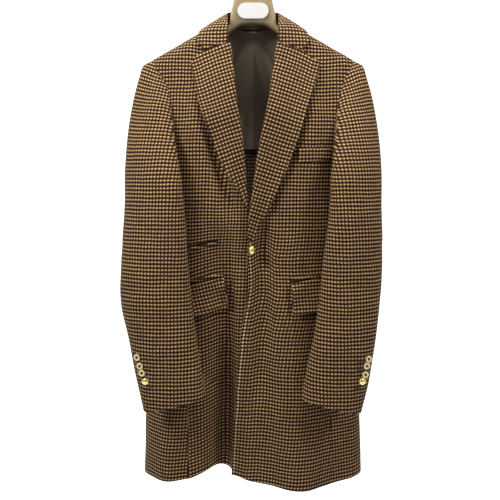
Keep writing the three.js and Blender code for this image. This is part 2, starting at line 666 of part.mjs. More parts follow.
function standSurface() {
  const table = standRows.map((row, i) => ({ ...row, z: -i }));
  const lastRow = standRows.length - 1;
  return (u, v) => {
    const turn = u * 2 - 1;
    const side = turn < 0 ? -1 : 1;
    const place = -(1 - Math.abs(turn)) * lastRow;
    const lean = at(table, "lean", place) * v;
    const x = at(table, "x", place);
    return new THREE.Vector3(
      side * (x + lean * x / neckHalfWidth),
      at(table, "y", place) + lean * standLean,
      lerp(at(table, "low", place), at(table, "high", place), v),
    );
  };
}

// Back half lining, with an ease pleat down its middle
function liningSurface() {
  return (u, v) => {
    const x = lerp(-lining.half, lining.half, u);
    const side = x < 0 ? -1 : 1;
    const reach = Math.abs(x);
    const drop = lining.topDrop + lining.shoulderDrop * smooth(lining.dropFrom, lining.dropTo, reach);
    const top = topLine(x) - drop;
    const z = lerp(top, lining.hem, v);
    const pleat = lining.pleatDepth * (1 - smooth(lining.pleatFlat, lining.pleatHalf, reach));
    return new THREE.Vector3(x, liftedY(backY, side, x, z, -lining.clear) - pleat, z);
  };
}

// A patch that lies on a front: four corners in x and z, moved out from the front's own points
function laidOnFront(side, corners, lift) {
  const [innerTop, outerTop, innerBottom, outerBottom] = corners;
  return (u, v) => {
    const x = lerp(lerp(innerTop[0], outerTop[0], u), lerp(innerBottom[0], outerBottom[0], u), v);
    const z = lerp(lerp(innerTop[1], outerTop[1], u), lerp(innerBottom[1], outerBottom[1], u), v);
    return new THREE.Vector3(x, liftedY(frontY, side, x, z, -lift) - seamGap / 2, z);
  };
}

function buildBody() {
  const lastShoulderRow = shoulderRows[shoulderRows.length - 1];
  const lowerRows = even(lowerRowCount).slice(1).map((t) => lerp(lastShoulderRow, 1, t));
  const down = [...shoulderRows, ...lowerRows];
  for (const side of [1, -1]) {
    const word = side > 0 ? "left" : "right";
    clothWall(`front_${word}`, clothFinish, frontSurface(side), even(12), down, clothThickness, -side);
    clothWall(`back_${word}`, clothFinish, backSurface(side), even(9), down, clothThickness, side);
    clothWall(`side_${word}`, clothFinish, sideSurface(side), even(6), even(11), clothThickness, -side);
  }
}

function buildSleeves() {
  const capRows = even(6).map((t) => t * sleeveCapShare);
  const armRows = even(10).slice(1).map((t) => lerp(sleeveCapShare, 1, t));
  const down = [...capRows, ...armRows];
  for (const side of [1, -1]) {
    const word = side > 0 ? "left" : "right";
    const surface = sleeveSurface(side);
    const part = (from, to) => (u, v) => {
      const narrowed = smooth(capSeamNarrows * sleeveCapShare, sleeveCapShare, v);
      const gap = lerp(capSeamGapAngle, seamGapAngle, narrowed);
      return surface(lerp(from + gap, to - gap, u) / 360, v);
    };
    const upper = part(backSeamAngle, frontSeamAngle);
    const under = part(frontSeamAngle, 360 + backSeamAngle);
    clothWall(`upper_sleeve_${word}`, clothFinish, upper, even(13), down, clothThickness, side);
    clothWall(`under_sleeve_${word}`, clothFinish, under, even(10), down, clothThickness, side);
  }
}

function buildCollar() {
  for (const side of [1, -1]) {
    const word = side > 0 ? "left" : "right";
    const surface = lapelSurface(side);
    const down = even(lapelRows.count).map((t) => t ** lapelRows.power);
    clothWall(`lapel_${word}`, collarFinish, surface, lapelAcross, down, clothThickness, -side);
  }
  clothWall("collar_fall", collarFinish, collarSurface(), even(28), even(5), clothThickness, 1);
  clothWall("collar_stand", collarFinish, standSurface(), even(14), even(2), clothThickness, -1);
  clothWall("back_lining", liningFinish, liningSurface(), even(20), even(8), liningThickness, -1);
}

function buildPockets() {
  for (const side of [1, -1]) {
    const word = side > 0 ? "left" : "right";
    const flap = flaps[word];
    const corners = [flap.inTop, flap.outTop, flap.inBottom, flap.outBottom];
    const surface = laidOnFront(side, corners, flapClear + flapThickness);
    clothWall(`flap_${word}`, clothFinish, surface, even(6), even(3), flapThickness, -side);
  }
  for (const [name, row] of Object.entries(strips)) {
    const foot = (point) => [point[0], point[1] - row.height];
    const corners = [row.inner, row.outer, foot(row.inner), foot(row.outer)];
    const surface = laidOnFront(row.side, corners, row.clear + row.thick);
    clothWall(name, clothFinish, surface, even(5), even(row.rows), row.thick, -row.side);
  }
}

// A domed button as a turned profile, its face along +Y of its own frame
function domeGeometry(diameter, height) {
  const radius = diameter / 2;
  const profile = [
    [0, 0], [radius * 0.86, 0], [radius, height * 0.22], [radius * 0.93, height * 0.5],
    [radius * 0.66, height * 0.85], [0, height],
  ];
  return new THREE.LatheGeometry(profile.map(([x, y]) => new THREE.Vector2(x, y)), buttonSides);
}

// A ring button as a turned ring
function ringGeometry() {
  const outer = sleeveButtonDiameter / 2;
  const hole = sleeveButtonHole / 2;
  const half = sleeveButtonThickness / 2;
  const profile = [
    [hole, -half * 0.5], [hole + 1.2, -half], [outer - 0.8, -half], [outer, 0],
    [outer - 1.2, half], [hole + 1.4, half * 0.8], [hole, half * 0.3], [hole, -half * 0.5],
  ];
  return new THREE.LatheGeometry(profile.map(([x, y]) => new THREE.Vector2(x, y)), buttonSides);
}

function place(name, finish, geometry, position, axis) {
  const mesh = addMesh(name, finish, geometry);
  mesh.position.copy(position);
  mesh.quaternion.setFromUnitVectors(new THREE.Vector3(0, 1, 0), axis.clone().normalize());
}

// The point of a sleeve at a height, a given distance inside its outer edge as seen from the front
function sleeveButtonSeat(surface, side, z, inset) {
  let best = null;
  for (let turn = seatSearch.turnFrom; turn < seatSearch.turnTo; turn += seatSearch.turnStep) {
    for (let v = seatSearch.alongFrom; v <= 1; v += seatSearch.alongStep) {
      const point = surface(turn, v);
      if (Math.abs(point.z - z) > seatSearch.near) continue;
      const edge = Math.abs(surface(0, v).x) - Math.abs(point.x);
      const miss = Math.abs(edge - inset) + Math.abs(point.z - z);
      if (!best || miss < best.miss) best = { miss, point, turn, v };
    }
  }
  const step = 1e-3;
  const alongU = surface(best.turn + step, best.v).sub(surface(best.turn - step, best.v));
  const alongV = surface(best.turn, Math.min(best.v + step, 1)).sub(surface(best.turn, best.v - step));
  return { point: best.point, normal: alongU.cross(alongV).normalize().multiplyScalar(side) };
}

function buildButtons() {
  const forward = new THREE.Vector3(0, -1, 0);
  const face = new THREE.Vector3(...frontButton.tilt).normalize();
  const seatY = frontY(1, frontButton.x, frontButton.z);
  const rise = (frontButton.diameter / 2) * Math.sqrt(1 - face.y * face.y);
  const seat = new THREE.Vector3(frontButton.x, seatY - rise - frontButton.clear, frontButton.z);
  place("front_button", goldFinish, domeGeometry(frontButton.diameter, frontButton.height), seat, face);
  for (const side of [1, -1]) {
    const word = side > 0 ? "left" : "right";
    const surface = sleeveSurface(side);
    sleeveButtonHeights.forEach((z, i) => {
      const { point, normal } = sleeveButtonSeat(surface, side, z, sleeveButtonInsets[word][i]);
      const axis = normal.clone().addScaledVector(forward, sleeveButtonForward).normalize();
      const slant = (Math.sqrt(1 - Math.min(axis.dot(normal), 1) ** 2) * sleeveButtonDiameter) / 2;
      const last = i === sleeveButtonHeights.length - 1;
      const lift = slant + sleeveButtonClear + (last ? 0 : sleeveButtonThickness / 2);
      const centre = point.clone().addScaledVector(normal, lift);
      const geometry = last ? domeGeometry(sleeveButtonDiameter, sleeveDomeHeight) : ringGeometry();
      place(`sleeve_button_${word}_${i + 1}`, last ? goldFinish : ringFinish, geometry, centre, axis);
    });
  }
}

// Hanger body: sections across the arms, lofted from one end to the other through the neck
function buildHanger() {
  const stations = [
    ...hangerStations.slice(1).reverse().map((row) => ({ ...row, x: -row.x })),
    ...hangerStations,
  ];
  const positions = [];
  const faces = [];
  const sides = hangerSectionSides;
  for (const row of stations) {
    const middle = (row.top + row.bottom) / 2;
    const tall = (row.top - row.bottom) / 2;
    for (let k = 0; k < sides; k += 1) {
      const angle = (k / sides) * 2 * Math.PI;
      positions.push(row.x, row.y + (row.breadth / 2) * Math.cos(angle), middle + tall * Math.sin(angle));
    }
  }
  const rows = stations.length;
  for (let j = 0; j < rows - 1; j += 1) {
    for (let k = 0; k < sides; k += 1) {
      const next = (k + 1) % sides;
      const a = j * sides + k;
      const b = j * sides + next;
      const c = (j + 1) * sides + next;
      const d = (j + 1) * sides + k;
      faces.push(a, b, c, a, c, d);
    }
  }
  for (let k = 1; k < sides - 1; k += 1) {
    faces.push(0, k + 1, k);
    const base = (rows - 1) * sides;
    faces.push(base, base + k, base + k + 1);
  }
  const geometry = new THREE.BufferGeometry();
  geometry.setAttribute("position", new THREE.Float32BufferAttribute(positions, 3));
  geometry.setIndex(faces);
  addMesh("hanger_body", hangerFinish, geometry);
}

// Hook: a bent wire up from the neck and over the rail, its inside top at the origin
function buildHook() {
  const radius = hookBendRadius + hookWire / 2;
  const centreZ = -hookBendRadius;
  const path = hookShank.map((row) => new THREE.Vector3(row.x, row.y, hookFoot + row.rise));
  for (let i = 0; i <= hookArcSteps; i += 1) {
    const angle = THREE.MathUtils.degToRad(lerp(hookArc.from, hookArc.to, i / hookArcSteps));
    path.push(new THREE.Vector3(radius * Math.cos(angle), 0, centreZ + radius * Math.sin(angle)));
  }
  const curve = new THREE.CatmullRomCurve3(path, false, "centripetal");
  const section = new THREE.Shape();
  for (let k = 0; k < hookSides; k += 1) {
    const angle = (k / hookSides) * 2 * Math.PI;
    const x = (hookWire / 2) * Math.cos(angle);
    const y = (hookWire / 2) * Math.sin(angle);
    if (k === 0) section.moveTo(x, y);
    else section.lineTo(x, y);
  }
  section.closePath();
  const options = { steps: hookSteps, bevelEnabled: false, extrudePath: curve };
  const geometry = new THREE.ExtrudeGeometry(section, options);
  addMesh("hanger_hook", hookFinish, geometry);
}

// Plain oval plate on the front of the hanger's neck
function buildPlate() {
  const half = plate.width / 2 - plate.corner;
  const outline = new THREE.Shape();
  outline.absarc(half, 0, plate.corner, -Math.PI / 2, Math.PI / 2, false);
  outline.absarc(-half, 0, plate.corner, Math.PI / 2, (3 * Math.PI) / 2, false);
  outline.closePath();
  const { thickness: depth, curveSegments } = plate;
  const geometry = new THREE.ExtrudeGeometry(outline, { depth, bevelEnabled: false, curveSegments });
  geometry.rotateX(Math.PI / 2);
  const mesh = addMesh("hanger_plate", plateFinish, geometry);
  mesh.position.set(0, hangerStations[0].y - hangerStations[0].breadth / 2 - seamGap, plate.z);
}

buildBody();
buildSleeves();
buildCollar();
buildPockets();
buildButtons();
buildHanger();
buildHook();
buildPlate();

export default coat;
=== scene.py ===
import bmesh
import bpy
import numpy as np
from mathutils import Matrix, Vector


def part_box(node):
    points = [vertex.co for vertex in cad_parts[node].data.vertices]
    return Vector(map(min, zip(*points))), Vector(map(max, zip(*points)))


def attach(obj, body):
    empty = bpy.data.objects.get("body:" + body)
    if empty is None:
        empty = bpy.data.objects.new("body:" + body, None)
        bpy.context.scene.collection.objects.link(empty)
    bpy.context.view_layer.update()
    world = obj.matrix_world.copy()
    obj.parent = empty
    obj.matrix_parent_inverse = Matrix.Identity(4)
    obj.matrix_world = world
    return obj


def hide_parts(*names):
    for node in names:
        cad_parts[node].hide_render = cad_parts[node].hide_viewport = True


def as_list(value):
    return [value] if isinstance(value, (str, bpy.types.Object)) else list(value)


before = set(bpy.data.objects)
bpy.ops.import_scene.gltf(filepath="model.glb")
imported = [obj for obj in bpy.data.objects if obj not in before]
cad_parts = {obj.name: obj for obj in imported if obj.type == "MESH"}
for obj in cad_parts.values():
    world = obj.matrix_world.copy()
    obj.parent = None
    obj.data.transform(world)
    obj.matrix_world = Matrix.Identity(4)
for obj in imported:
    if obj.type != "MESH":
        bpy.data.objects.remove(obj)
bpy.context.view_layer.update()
print("frame loaded")

# Shapes are worked out in millimetres and turned into metres when a mesh is made


def columns(names, *rows):
    values = np.array(rows, float)
    return {name: values[:, i] for i, name in enumerate(names.split())}


def rowNumbers(rows, names):
    # The same table with a running number in place of a height
    return columns("z " + names, *[(-i, *row) for i, row in enumerate(rows)])


def smooth(low, high, value):
    t = np.clip((np.asarray(value, float) - low) / (high - low), 0, 1)
    return t * t * (3 - 2 * t)


def mix(a, b, share):
    return a + (b - a) * share


def valueAt(table, column, z):
    # One column of a table at a height, on a smooth curve through its rows
    keys, values = table["z"], table[column]
    z = np.asarray(z, float)
    i = np.clip(np.searchsorted(-keys, -z, side="left") - 1, 0, len(keys) - 2)
    before, after = np.maximum(i - 1, 0), np.minimum(i + 2, len(keys) - 1)
    run = keys[i + 1] - keys[i]
    t = np.clip((z - keys[i]) / run, 0, 1)
    slopeA = (values[i + 1] - values[before]) / (keys[i + 1] - keys[before])
    slopeB = (values[after] - values[i]) / (keys[after] - keys[i])
    return ((2 * t**3 - 3 * t**2 + 1) * values[i] + (t**3 - 2 * t**2 + t) * run * slopeA
            + (3 * t**2 - 2 * t**3) * values[i + 1] + (t**3 - t**2) * run * slopeB)


def stack(x, y, z):
    return np.stack(np.broadcast_arrays(x, y, z), axis=-1)


def unit(vectors):
    length = np.linalg.norm(vectors, axis=-1, keepdims=True)
    return vectors / np.maximum(length, 1e-9)


def squared(wave, power):
    # A cosine or sine flattened towards the sides of a square
    return np.sign(wave) * np.abs(wave) ** (2 / power)


def runAlong(points, axis=0):
    # Distance run along a line of points, or along each column or row of a grid of them
    steps = np.linalg.norm(np.diff(points, axis=axis), axis=-1)
    return np.concatenate([0 * steps.take([0], axis), np.cumsum(steps, axis=axis)], axis=axis)


def pointsAt(share, run, line):
    return np.stack([np.interp(share, run, line[:, k]) for k in range(3)], axis=-1)


def sideOf(x):
    return 1 if x > 0 else -1


def word(side):
    return "left" if side > 0 else "right"


# ---- The hanging body of the coat

body = {
    "neckHalf": 60, "neckTop": -138, "shoulderHalf": 206, "shoulderEnd": -219, "shoulderSlope": 0.555,
    "ridge": 5, "neckBack": 53, "backNeckDrop": 12, "neckCurve": 0.8,
    "roundness": 30, "forwardShare": 0.42, "chestReach": 220,
    "underarm": -455, "hem": -1090, "armholeSide": -430, "power": 2.5, "foldShare": 0.45, "backSeamRoom": 16,
    "sections": columns(
        "z half front back side",
        (-138, 216, -66, 74, 5), (-300, 206, -67, 80, 8), (-455, 186, -68, 84, 14), (-600, 190, -66, 78, 16),
        (-760, 204, -62, 80, 14), (-920, 228, -60, 86, 8), (-1090, 236, -60, 90, 2)),
    "overlap": {"clearance": 9, "xFull": -10, "xNone": -52, "zFull": -500, "zNone": -380},
    # side, x at the top and bottom, the two heights, width, depth at the top and bottom, length of the fade
    "frontFolds": [
        (1, 92, 97, -640, -1090, 52, -4, -36, 130), (1, 18, 20, -620, -840, 20, 15, 13, 110),
        (1, -40, -62, -980, -1090, 40, 4, 20, 120), (1, 120, 128, -330, -420, 30, -5, -6, 90),
        (-1, -58, -64, -640, -1090, 30, 20, 44, 120), (-1, -170, -182, -760, -1090, 34, -6, -24, 130),
        (-1, -76, -52, -390, -500, 16, 7, 7, 60), (-1, -118, -122, -330, -640, 34, -5, -6, 90)],
    "backFolds": [
        (1, 70, 92, -560, -1090, 40, -5, 14, 130), (1, 20, 24, -700, -1090, 26, -4, -14, 130),
        (-1, -62, -82, -600, -1090, 42, -4, 16, 130), (-1, -130, -138, -760, -1090, 26, -2, -10, 120)],
    "edges": {
        "left": columns(
            "z x", (-138, 60), (-160, 55), (-188, 51), (-240, 44), (-303, 34), (-362, 22), (-421, 11), (-480, 3),
            (-540, -6), (-600, -11), (-680, -9), (-765, -23), (-894, -35), (-1006, -42), (-1090, -46)),
        "right": columns(
            "z x", (-138, -60), (-160, -55), (-188, -49), (-244, -42), (-303, -36), (-362, -26), (-441, -18),
            (-520, -8), (-580, 8), (-680, 20), (-894, 12), (-1090, 4))},
    "frontSides": {
        "left": columns(
            "z x", (-219, 206), (-250, 190), (-280, 180), (-320, 170), (-370, 163), (-425, 162), (-470, 160),
            (-700, 161), (-930, 162), (-1090, 166)),
        "right": columns(
            "z x", (-219, 206), (-250, 188), (-280, 172), (-320, 163), (-370, 158), (-425, 156), (-470, 152),
            (-700, 140), (-930, 135), (-1090, 136))},
    "backSides": columns(
        "z x", (-219, 206), (-255, 190), (-300, 180), (-350, 173), (-420, 168), (-470, 162), (-700, 158),
        (-1090, 172)),
    # side, x, width and rise of each wave of the hem
    "hemWaves": [(-1, -80, 42, 20), (1, -38, 22, 6), (1, 60, 60, -6), (1, 150, 56, -8)], "hemFade": 14,
    # the left front's edge draws back under the lapel's roll, from one height up to the other
    "rollRoom": {"by": 2.4, "from": -600, "to": -575},
}


def topLine(x):
    reach = np.abs(x)
    shoulder = body["neckTop"] - body["shoulderSlope"] * (reach - body["neckHalf"])
    neck = body["neckTop"] - body["backNeckDrop"] * (1 - (reach / body["neckHalf"]) ** 2)
    return np.where(reach >= body["neckHalf"], shoulder, neck)


def ridgeDepth(x):
    share = np.minimum(np.abs(x) / body["neckHalf"], 1)
    return body["ridge"] + body["neckBack"] * (1 - share * share) ** body["neckCurve"]


def depthShare(below):
    t = np.clip(below / body["roundness"], 0, 1)
    rounded = np.sqrt(1 - (1 - t) ** 2)
    return body["forwardShare"] * rounded + (1 - body["forwardShare"]) * smooth(0, body["chestReach"], below)


def foldDepth(folds, side, x, z):
    total = np.zeros(np.broadcast(x, z).shape)
    for foldSide, xTop, xLow, top, low, width, deep, deepLow, fade in folds:
        if foldSide != side:
            continue
        t = np.clip((z - top) / (low - top), 0, 1)
        past = np.maximum(np.maximum(z - top, low - z), 0)
        near = (x - mix(xTop, xLow, t)) / width
        total = total + mix(deep, deepLow, t) * np.exp(-near * near) * (1 - smooth(0, fade, past))
    return total


def sectionShare(x, half):
    reach = np.minimum(np.abs(x) / half, 1)
    return (1 - reach ** body["power"]) ** (1 / body["power"])


def ownFrontY(side, x, z):
    edge = valueAt(body["sections"], "side", z)
    share = sectionShare(x, valueAt(body["sections"], "half", z))
    full = edge + (valueAt(body["sections"], "front", z) - edge) * share
    below = body["neckTop"] - body["shoulderSlope"] * (np.abs(x) - body["neckHalf"]) - z
    folds = foldDepth(body["frontFolds"], side, x, z) * smooth(0, body["foldShare"], share)
    return mix(body["ridge"], full + folds, depthShare(below))


def frontY(side, x, z):
    own = ownFrontY(side, x, z)
    if side > 0:
        return own
    lap = body["overlap"]
    lapped = smooth(lap["xNone"], lap["xFull"], x) * (1 - smooth(lap["zFull"], lap["zNone"], z))
    return mix(own, ownFrontY(1, x, z) + lap["clearance"], lapped)


def backY(side, x, z):
    edge = valueAt(body["sections"], "side", z)
    share = sectionShare(x, valueAt(body["sections"], "half", z))
    full = edge + (valueAt(body["sections"], "back", z) - edge) * share
    folds = foldDepth(body["backFolds"], side, x, z) * smooth(0, body["foldShare"], share)
    folds = folds * smooth(0, body["backSeamRoom"], np.abs(x))
    return mix(ridgeDepth(x), full + folds, depthShare(topLine(x) - z))


def liftedY(surfaceY, side, x, z, lift):
    # Depth of a point that lies a real distance off the surface
    step, steepest = 0.5, 2.2
    slopeX = (surfaceY(side, x + step, z) - surfaceY(side, x - step, z)) / (2 * step)
    slopeZ = (surfaceY(side, x, z + step) - surfaceY(side, x, z - step)) / (2 * step)
    return surfaceY(side, x, z) + lift * np.minimum(np.sqrt(1 + slopeX**2 + slopeZ**2), steepest)


def hemWave(side, x):
    return sum(rise * np.exp(-(((x - at) / wide) ** 2)) for own, at, wide, rise in body["hemWaves"] if own == side)


def frontSurface(side):
    edge, sideSeam = body["edges"][word(side)], body["frontSides"][word(side)]
    room = body["rollRoom"]

    def surface(u, v):
        innerZ = mix(body["neckTop"], body["hem"], v)
        outerZ = mix(body["shoulderEnd"], body["hem"], v)
        innerX = valueAt(edge, "x", innerZ) + side * room["by"] * smooth(room["from"], room["to"], innerZ)
        outerX = side * valueAt(sideSeam, "x", outerZ)
        x = mix(innerX, outerX, u)
        z = mix(innerZ, outerZ, u) + hemWave(side, x) * v ** body["hemFade"]
        return stack(x, frontY(side, x, z), z)
    return surface


def backSurface(side):
    def surface(u, v):
        x = side * valueAt(body["backSides"], "x", mix(body["shoulderEnd"], body["hem"], v)) * u
        z = mix(topLine(body["shoulderHalf"] * u), body["hem"], v)
        return stack(x, backY(side, x, z), z)
    return surface


def frontAngle(x, z):
    share = np.minimum(np.abs(x) / valueAt(body["sections"], "half", z), 1)
    return np.arcsin(share ** (body["power"] / 2))


def sideSurface(side):
    def surface(u, v):
        top = body["armholeSide"] + (body["underarm"] - body["armholeSide"]) * np.sin(np.pi * u)
        seamX = side * valueAt(body["frontSides"][word(side)], "x", body["hem"])
        z = mix(top, body["hem"] + hemWave(side, seamX) * (1 - u) ** 2, v)
        start = frontAngle(valueAt(body["frontSides"][word(side)], "x", z), z)
        end = np.pi - frontAngle(valueAt(body["backSides"], "x", z), z)
        angle = mix(start, end, u)
        x = side * valueAt(body["sections"], "half", z) * np.sin(angle) ** (2 / body["power"])
        return stack(x, np.where(angle < np.pi / 2, frontY(side, x, z), backY(side, x, z)), z)
    return surface


# ---- Sleeves: rings below the armhole, and a cap that bends from the armhole into them

sleeve = {
    "left": columns(
        "z drop outer inner y tilt deep",
        (-470, -18, 260, 152, -57.5, 24, 44.5), (-540, -8, 260, 148, -66.5, 18, 45.5),
        (-625, 0, 260, 138, -75, 13, 46), (-700, 4, 255, 132, -81.5, 9, 44.5), (-780, 8, 244, 120, -90.5, 5, 41),
        (-850, 11, 231, 106, -98, 1, 36), (-908, 14, 216, 97, -103, -2, 32)),
    "right": columns(
        "z drop outer inner y tilt deep",
        (-470, -18, 258, 138, -60, 24, 43), (-540, -8, 260, 133, -68, 18, 43), (-625, 0, 265, 128, -76, 13, 43),
        (-700, 4, 265, 122, -82, 9, 41), (-780, 8, 247, 113, -88, 5, 38), (-850, 11, 233, 102, -94, 1, 35),
        (-906, 14, 219, 95, -99, -2, 32)),
    # side, angle round the sleeve, top, bottom, width in degrees, depth
    "folds": [(1, 100, -560, -740, 26, -3), (1, 40, -640, -800, 24, -2),
              (-1, 70, -600, -780, 24, -3.5), (-1, 130, -650, -860, 26, 3)],
    "power": 2.3, "capShare": 0.34, "pitch": 0.16, "lead": 0.12, "backSeam": -24, "frontSeam": 150,
    "gap": -0.4, "underGap": 1.4, "crown": 0.4, "crownShare": 0.14, "proud": 1.0,
    "across": 0.4, "acrossMore": 0.6, "acrossFront": -0.12, "forward": 0.7, "down": 0.34, "downMore": 0.95,
    "leave": 0.9, "leaveTop": 0.56, "arrive": 0.85, "arriveTop": 0.55, "arriveForward": 0.06,
    "frontFrom": (0.1, 0.25), "frontTo": (0.5, 0.62),  # shares round the sleeve between which it faces forward
    "head": {"out": 6, "at": 0.11, "width": 0.1}, "capGap": 0.3, "seamGap": 0.02,
}


def armholeLine(side):
    steps = 160
    z = np.linspace(body["shoulderEnd"], body["armholeSide"], steps)
    x = side * valueAt(body["frontSides"][word(side)], "x", z)
    front = stack(x, frontY(side, x, z), z)
    under = sideSurface(side)(np.linspace(0, 1, steps)[1:-1], 0)
    z = z[::-1]
    x = side * valueAt(body["backSides"], "x", z)
    line = np.concatenate([front, under, stack(x, backY(side, x, z), z)])
    run = runAlong(line)
    return line, run / run[-1]


def sleeveRing(side, angle, z):
    rows = sleeve[word(side)]
    outer, inner = valueAt(rows, "outer", z), valueAt(rows, "inner", z)
    cos, sin = np.cos(angle), np.sin(angle)
    wide, deep = squared(cos, sleeve["power"]), squared(sin, sleeve["power"])
    bulge = 0
    for foldSide, foldAngle, top, bottom, width, amount in sleeve["folds"]:
        if foldSide == side:
            near = (np.degrees(angle) - foldAngle) / width
            along = (z - (top + bottom) / 2) / ((top - bottom) / 2)
            bulge = bulge + amount * np.exp(-near * near - along * along)
    return stack(
        side * (outer + inner + (outer - inner) * wide) / 2,
        valueAt(rows, "y", z) + valueAt(rows, "tilt", z) * wide - (valueAt(rows, "deep", z) - bulge) * deep,
        z - valueAt(rows, "drop", z) * wide)


def sleeveSurface(side):
    line, run = armholeLine(side)
    first, last = sleeve[word(side)]["z"][0], sleeve[word(side)]["z"][-1]

    def start(turn):
        share = turn - sleeve["pitch"] * np.sin(np.pi * turn) ** 2
        point = pointsAt(share, run, line)
        under = (1 - np.cos(2 * np.pi * share)) / 2
        crown = sleeve["crown"] * (1 - smooth(0, sleeve["crownShare"], np.minimum(share, 1 - share)))
        faceOut = -sleeve["proud"] * np.sin(2 * np.pi * share)
        return point + stack(side * (sleeve["gap"] + sleeve["underGap"] * under**2), faceOut, crown)

    def surface(turn, v):
        turn, v = np.broadcast_arrays(np.asarray(turn, float), np.asarray(v, float))
        whole = np.mod(turn, 1)
        angle = (whole + sleeve["lead"] * np.sin(np.pi * whole) ** 2) * 2 * np.pi
        down = (v - sleeve["capShare"]) / (1 - sleeve["capShare"])
        arm = sleeveRing(side, angle, mix(first, last, np.clip(down, 0, 1)))
        t = np.clip(v / sleeve["capShare"], 0, 1)[..., None]
        begin, to = start(whole), sleeveRing(side, angle, np.full(angle.shape, first))
        span = np.linalg.norm(to - begin, axis=-1, keepdims=True)
        low = (1 - np.cos(angle)) / 2
        front = smooth(*sleeve["frontFrom"], whole) * (1 - smooth(*sleeve["frontTo"], whole))
        outward = sleeve["across"] + sleeve["acrossMore"] * np.abs(np.cos(angle))
        leave = unit(stack(
            side * mix(outward, sleeve["acrossFront"], front),
            -sleeve["forward"] * mix(np.sin(angle), 1, front),
            -sleeve["down"] - sleeve["downMore"] * low))
        top = ((1 + np.cos(angle)) / 2)[..., None] ** 2
        leave = leave * span * mix(sleeve["leave"], sleeve["leaveTop"], top)
        head = sleeve["head"]
        bulge = head["out"] * top * np.exp(-(((t - head["at"]) / head["width"]) ** 2)) * smooth(0, head["at"], t)
        arrive = np.array([0, -sleeve["arriveForward"], -1]) * span
        arrive = arrive * mix(sleeve["arrive"], sleeve["arriveTop"], top)
        cap = (np.array([side, 0, 0]) * bulge + begin * (2 * t**3 - 3 * t**2 + 1) + leave * (t**3 - 2 * t**2 + t)
               + to * (3 * t**2 - 2 * t**3) + arrive * (t**3 - t**2))
        return np.where((down >= 0)[..., None], arm, cap)
    return surface


def sleevePart(side, fromDegrees, toDegrees):
    surface = sleeveSurface(side)

    def part(u, v):
        gap = mix(sleeve["capGap"], sleeve["seamGap"], smooth(0.6 * sleeve["capShare"], sleeve["capShare"], v))
        return surface(mix(fromDegrees + gap, toDegrees - gap, u) / 360, v)
    return part


# ---- Lapels, collar, lining and what lies on the fronts

lapel = {
    "left": columns(
        "z x", (-227, 133), (-258, 128), (-290, 117), (-347, 99), (-400, 81), (-443, 65), (-498, 40), (-549, 14),
        (-586, -4)),
    "right": columns(
        "z x", (-225, -124), (-264, -117), (-313, -105), (-374, -83), (-421, -65), (-453, -48), (-480, -30),
        (-518, -13)),
    "rollEnd": {"left": -578, "right": -513},
    "gorge": -188, "gorgeStart": 50, "gorgeSlope": 0.33, "gorgeGap": 0.7, "notch": 99,
    "lift": 5.4, "rollLift": 4.5, "rollRise": 3.2, "rollShare": 0.18,
    "roll": rowNumbers([(0, -2.6), (3.2, -0.6), (4.2, 3.4), (2.4, 7.6)], "reach lift"),
    "turn": 18,  # degrees that the grain leans where the facing folds back
    # the roll is small where the lapel is narrow, the lapel settles on the front over some of its width, and
    # its edge and point stand off the front
    "rollLeast": 0.3, "rollFullAt": 50, "inwardFade": 0.15, "settle": 0.6, "topFade": 6,
    "standOff": {"by": 3.4, "from": 0.7},
}


def lapelSurface(side):
    edge, rollLine, off = lapel[word(side)], body["edges"][word(side)], lapel["standOff"]
    pointZ, tipZ, pointX = edge["z"][0], edge["z"][-1], abs(edge["x"][0])
    rollStart = lapel["roll"]["lift"][0]
    rollTravel = lapel["roll"]["lift"][-1] - rollStart

    def surface(u, v):
        rollZ, edgeZ = mix(lapel["gorge"], lapel["rollEnd"][word(side)], v), mix(pointZ, tipZ, v)
        rollX, edgeX = valueAt(rollLine, "x", rollZ), valueAt(edge, "x", edgeZ)
        size = np.minimum(1, lapel["rollLeast"] + np.abs(edgeX - rollX) / lapel["rollFullAt"])
        flat = np.clip((u - lapel["rollShare"]) / (1 - lapel["rollShare"]), 0, 1)
        curl = -3 * np.clip(u / lapel["rollShare"], 0, 1)
        inward = valueAt(lapel["roll"], "reach", curl) * size
        inward = inward * (1 - smooth(0, lapel["inwardFade"], flat))
        rolled = lapel["rollLift"] + lapel["rollRise"] * size
        settled = mix(rolled, lapel["lift"], smooth(0, lapel["settle"], flat))
        risen = (valueAt(lapel["roll"], "lift", curl) - rollStart) / rollTravel
        lift = np.where(flat > 0, settled, mix(rollStart, settled, risen))
        lift = lift + off["by"] * smooth(off["from"], 1, flat) * (1 - smooth(off["from"], 1, v))
        topX = mix(abs(valueAt(rollLine, "x", lapel["gorge"])), pointX, flat)
        past = (topX - lapel["notch"]) / (pointX - lapel["notch"])
        seamZ = (lapel["gorge"] - lapel["gorgeSlope"] * (np.minimum(topX, lapel["notch"]) - lapel["gorgeStart"])
                 - lapel["gorgeGap"])
        topZ = np.where(topX < lapel["notch"], seamZ, mix(seamZ, pointZ, past))
        x = mix(rollX, edgeX, flat) - side * inward
        z = mix(rollZ, edgeZ, flat) + (topZ - mix(lapel["gorge"], pointZ, flat)) * (1 - v) ** lapel["topFade"]
        return stack(x, liftedY(frontY, side, x, z, -lift), z)
    return surface


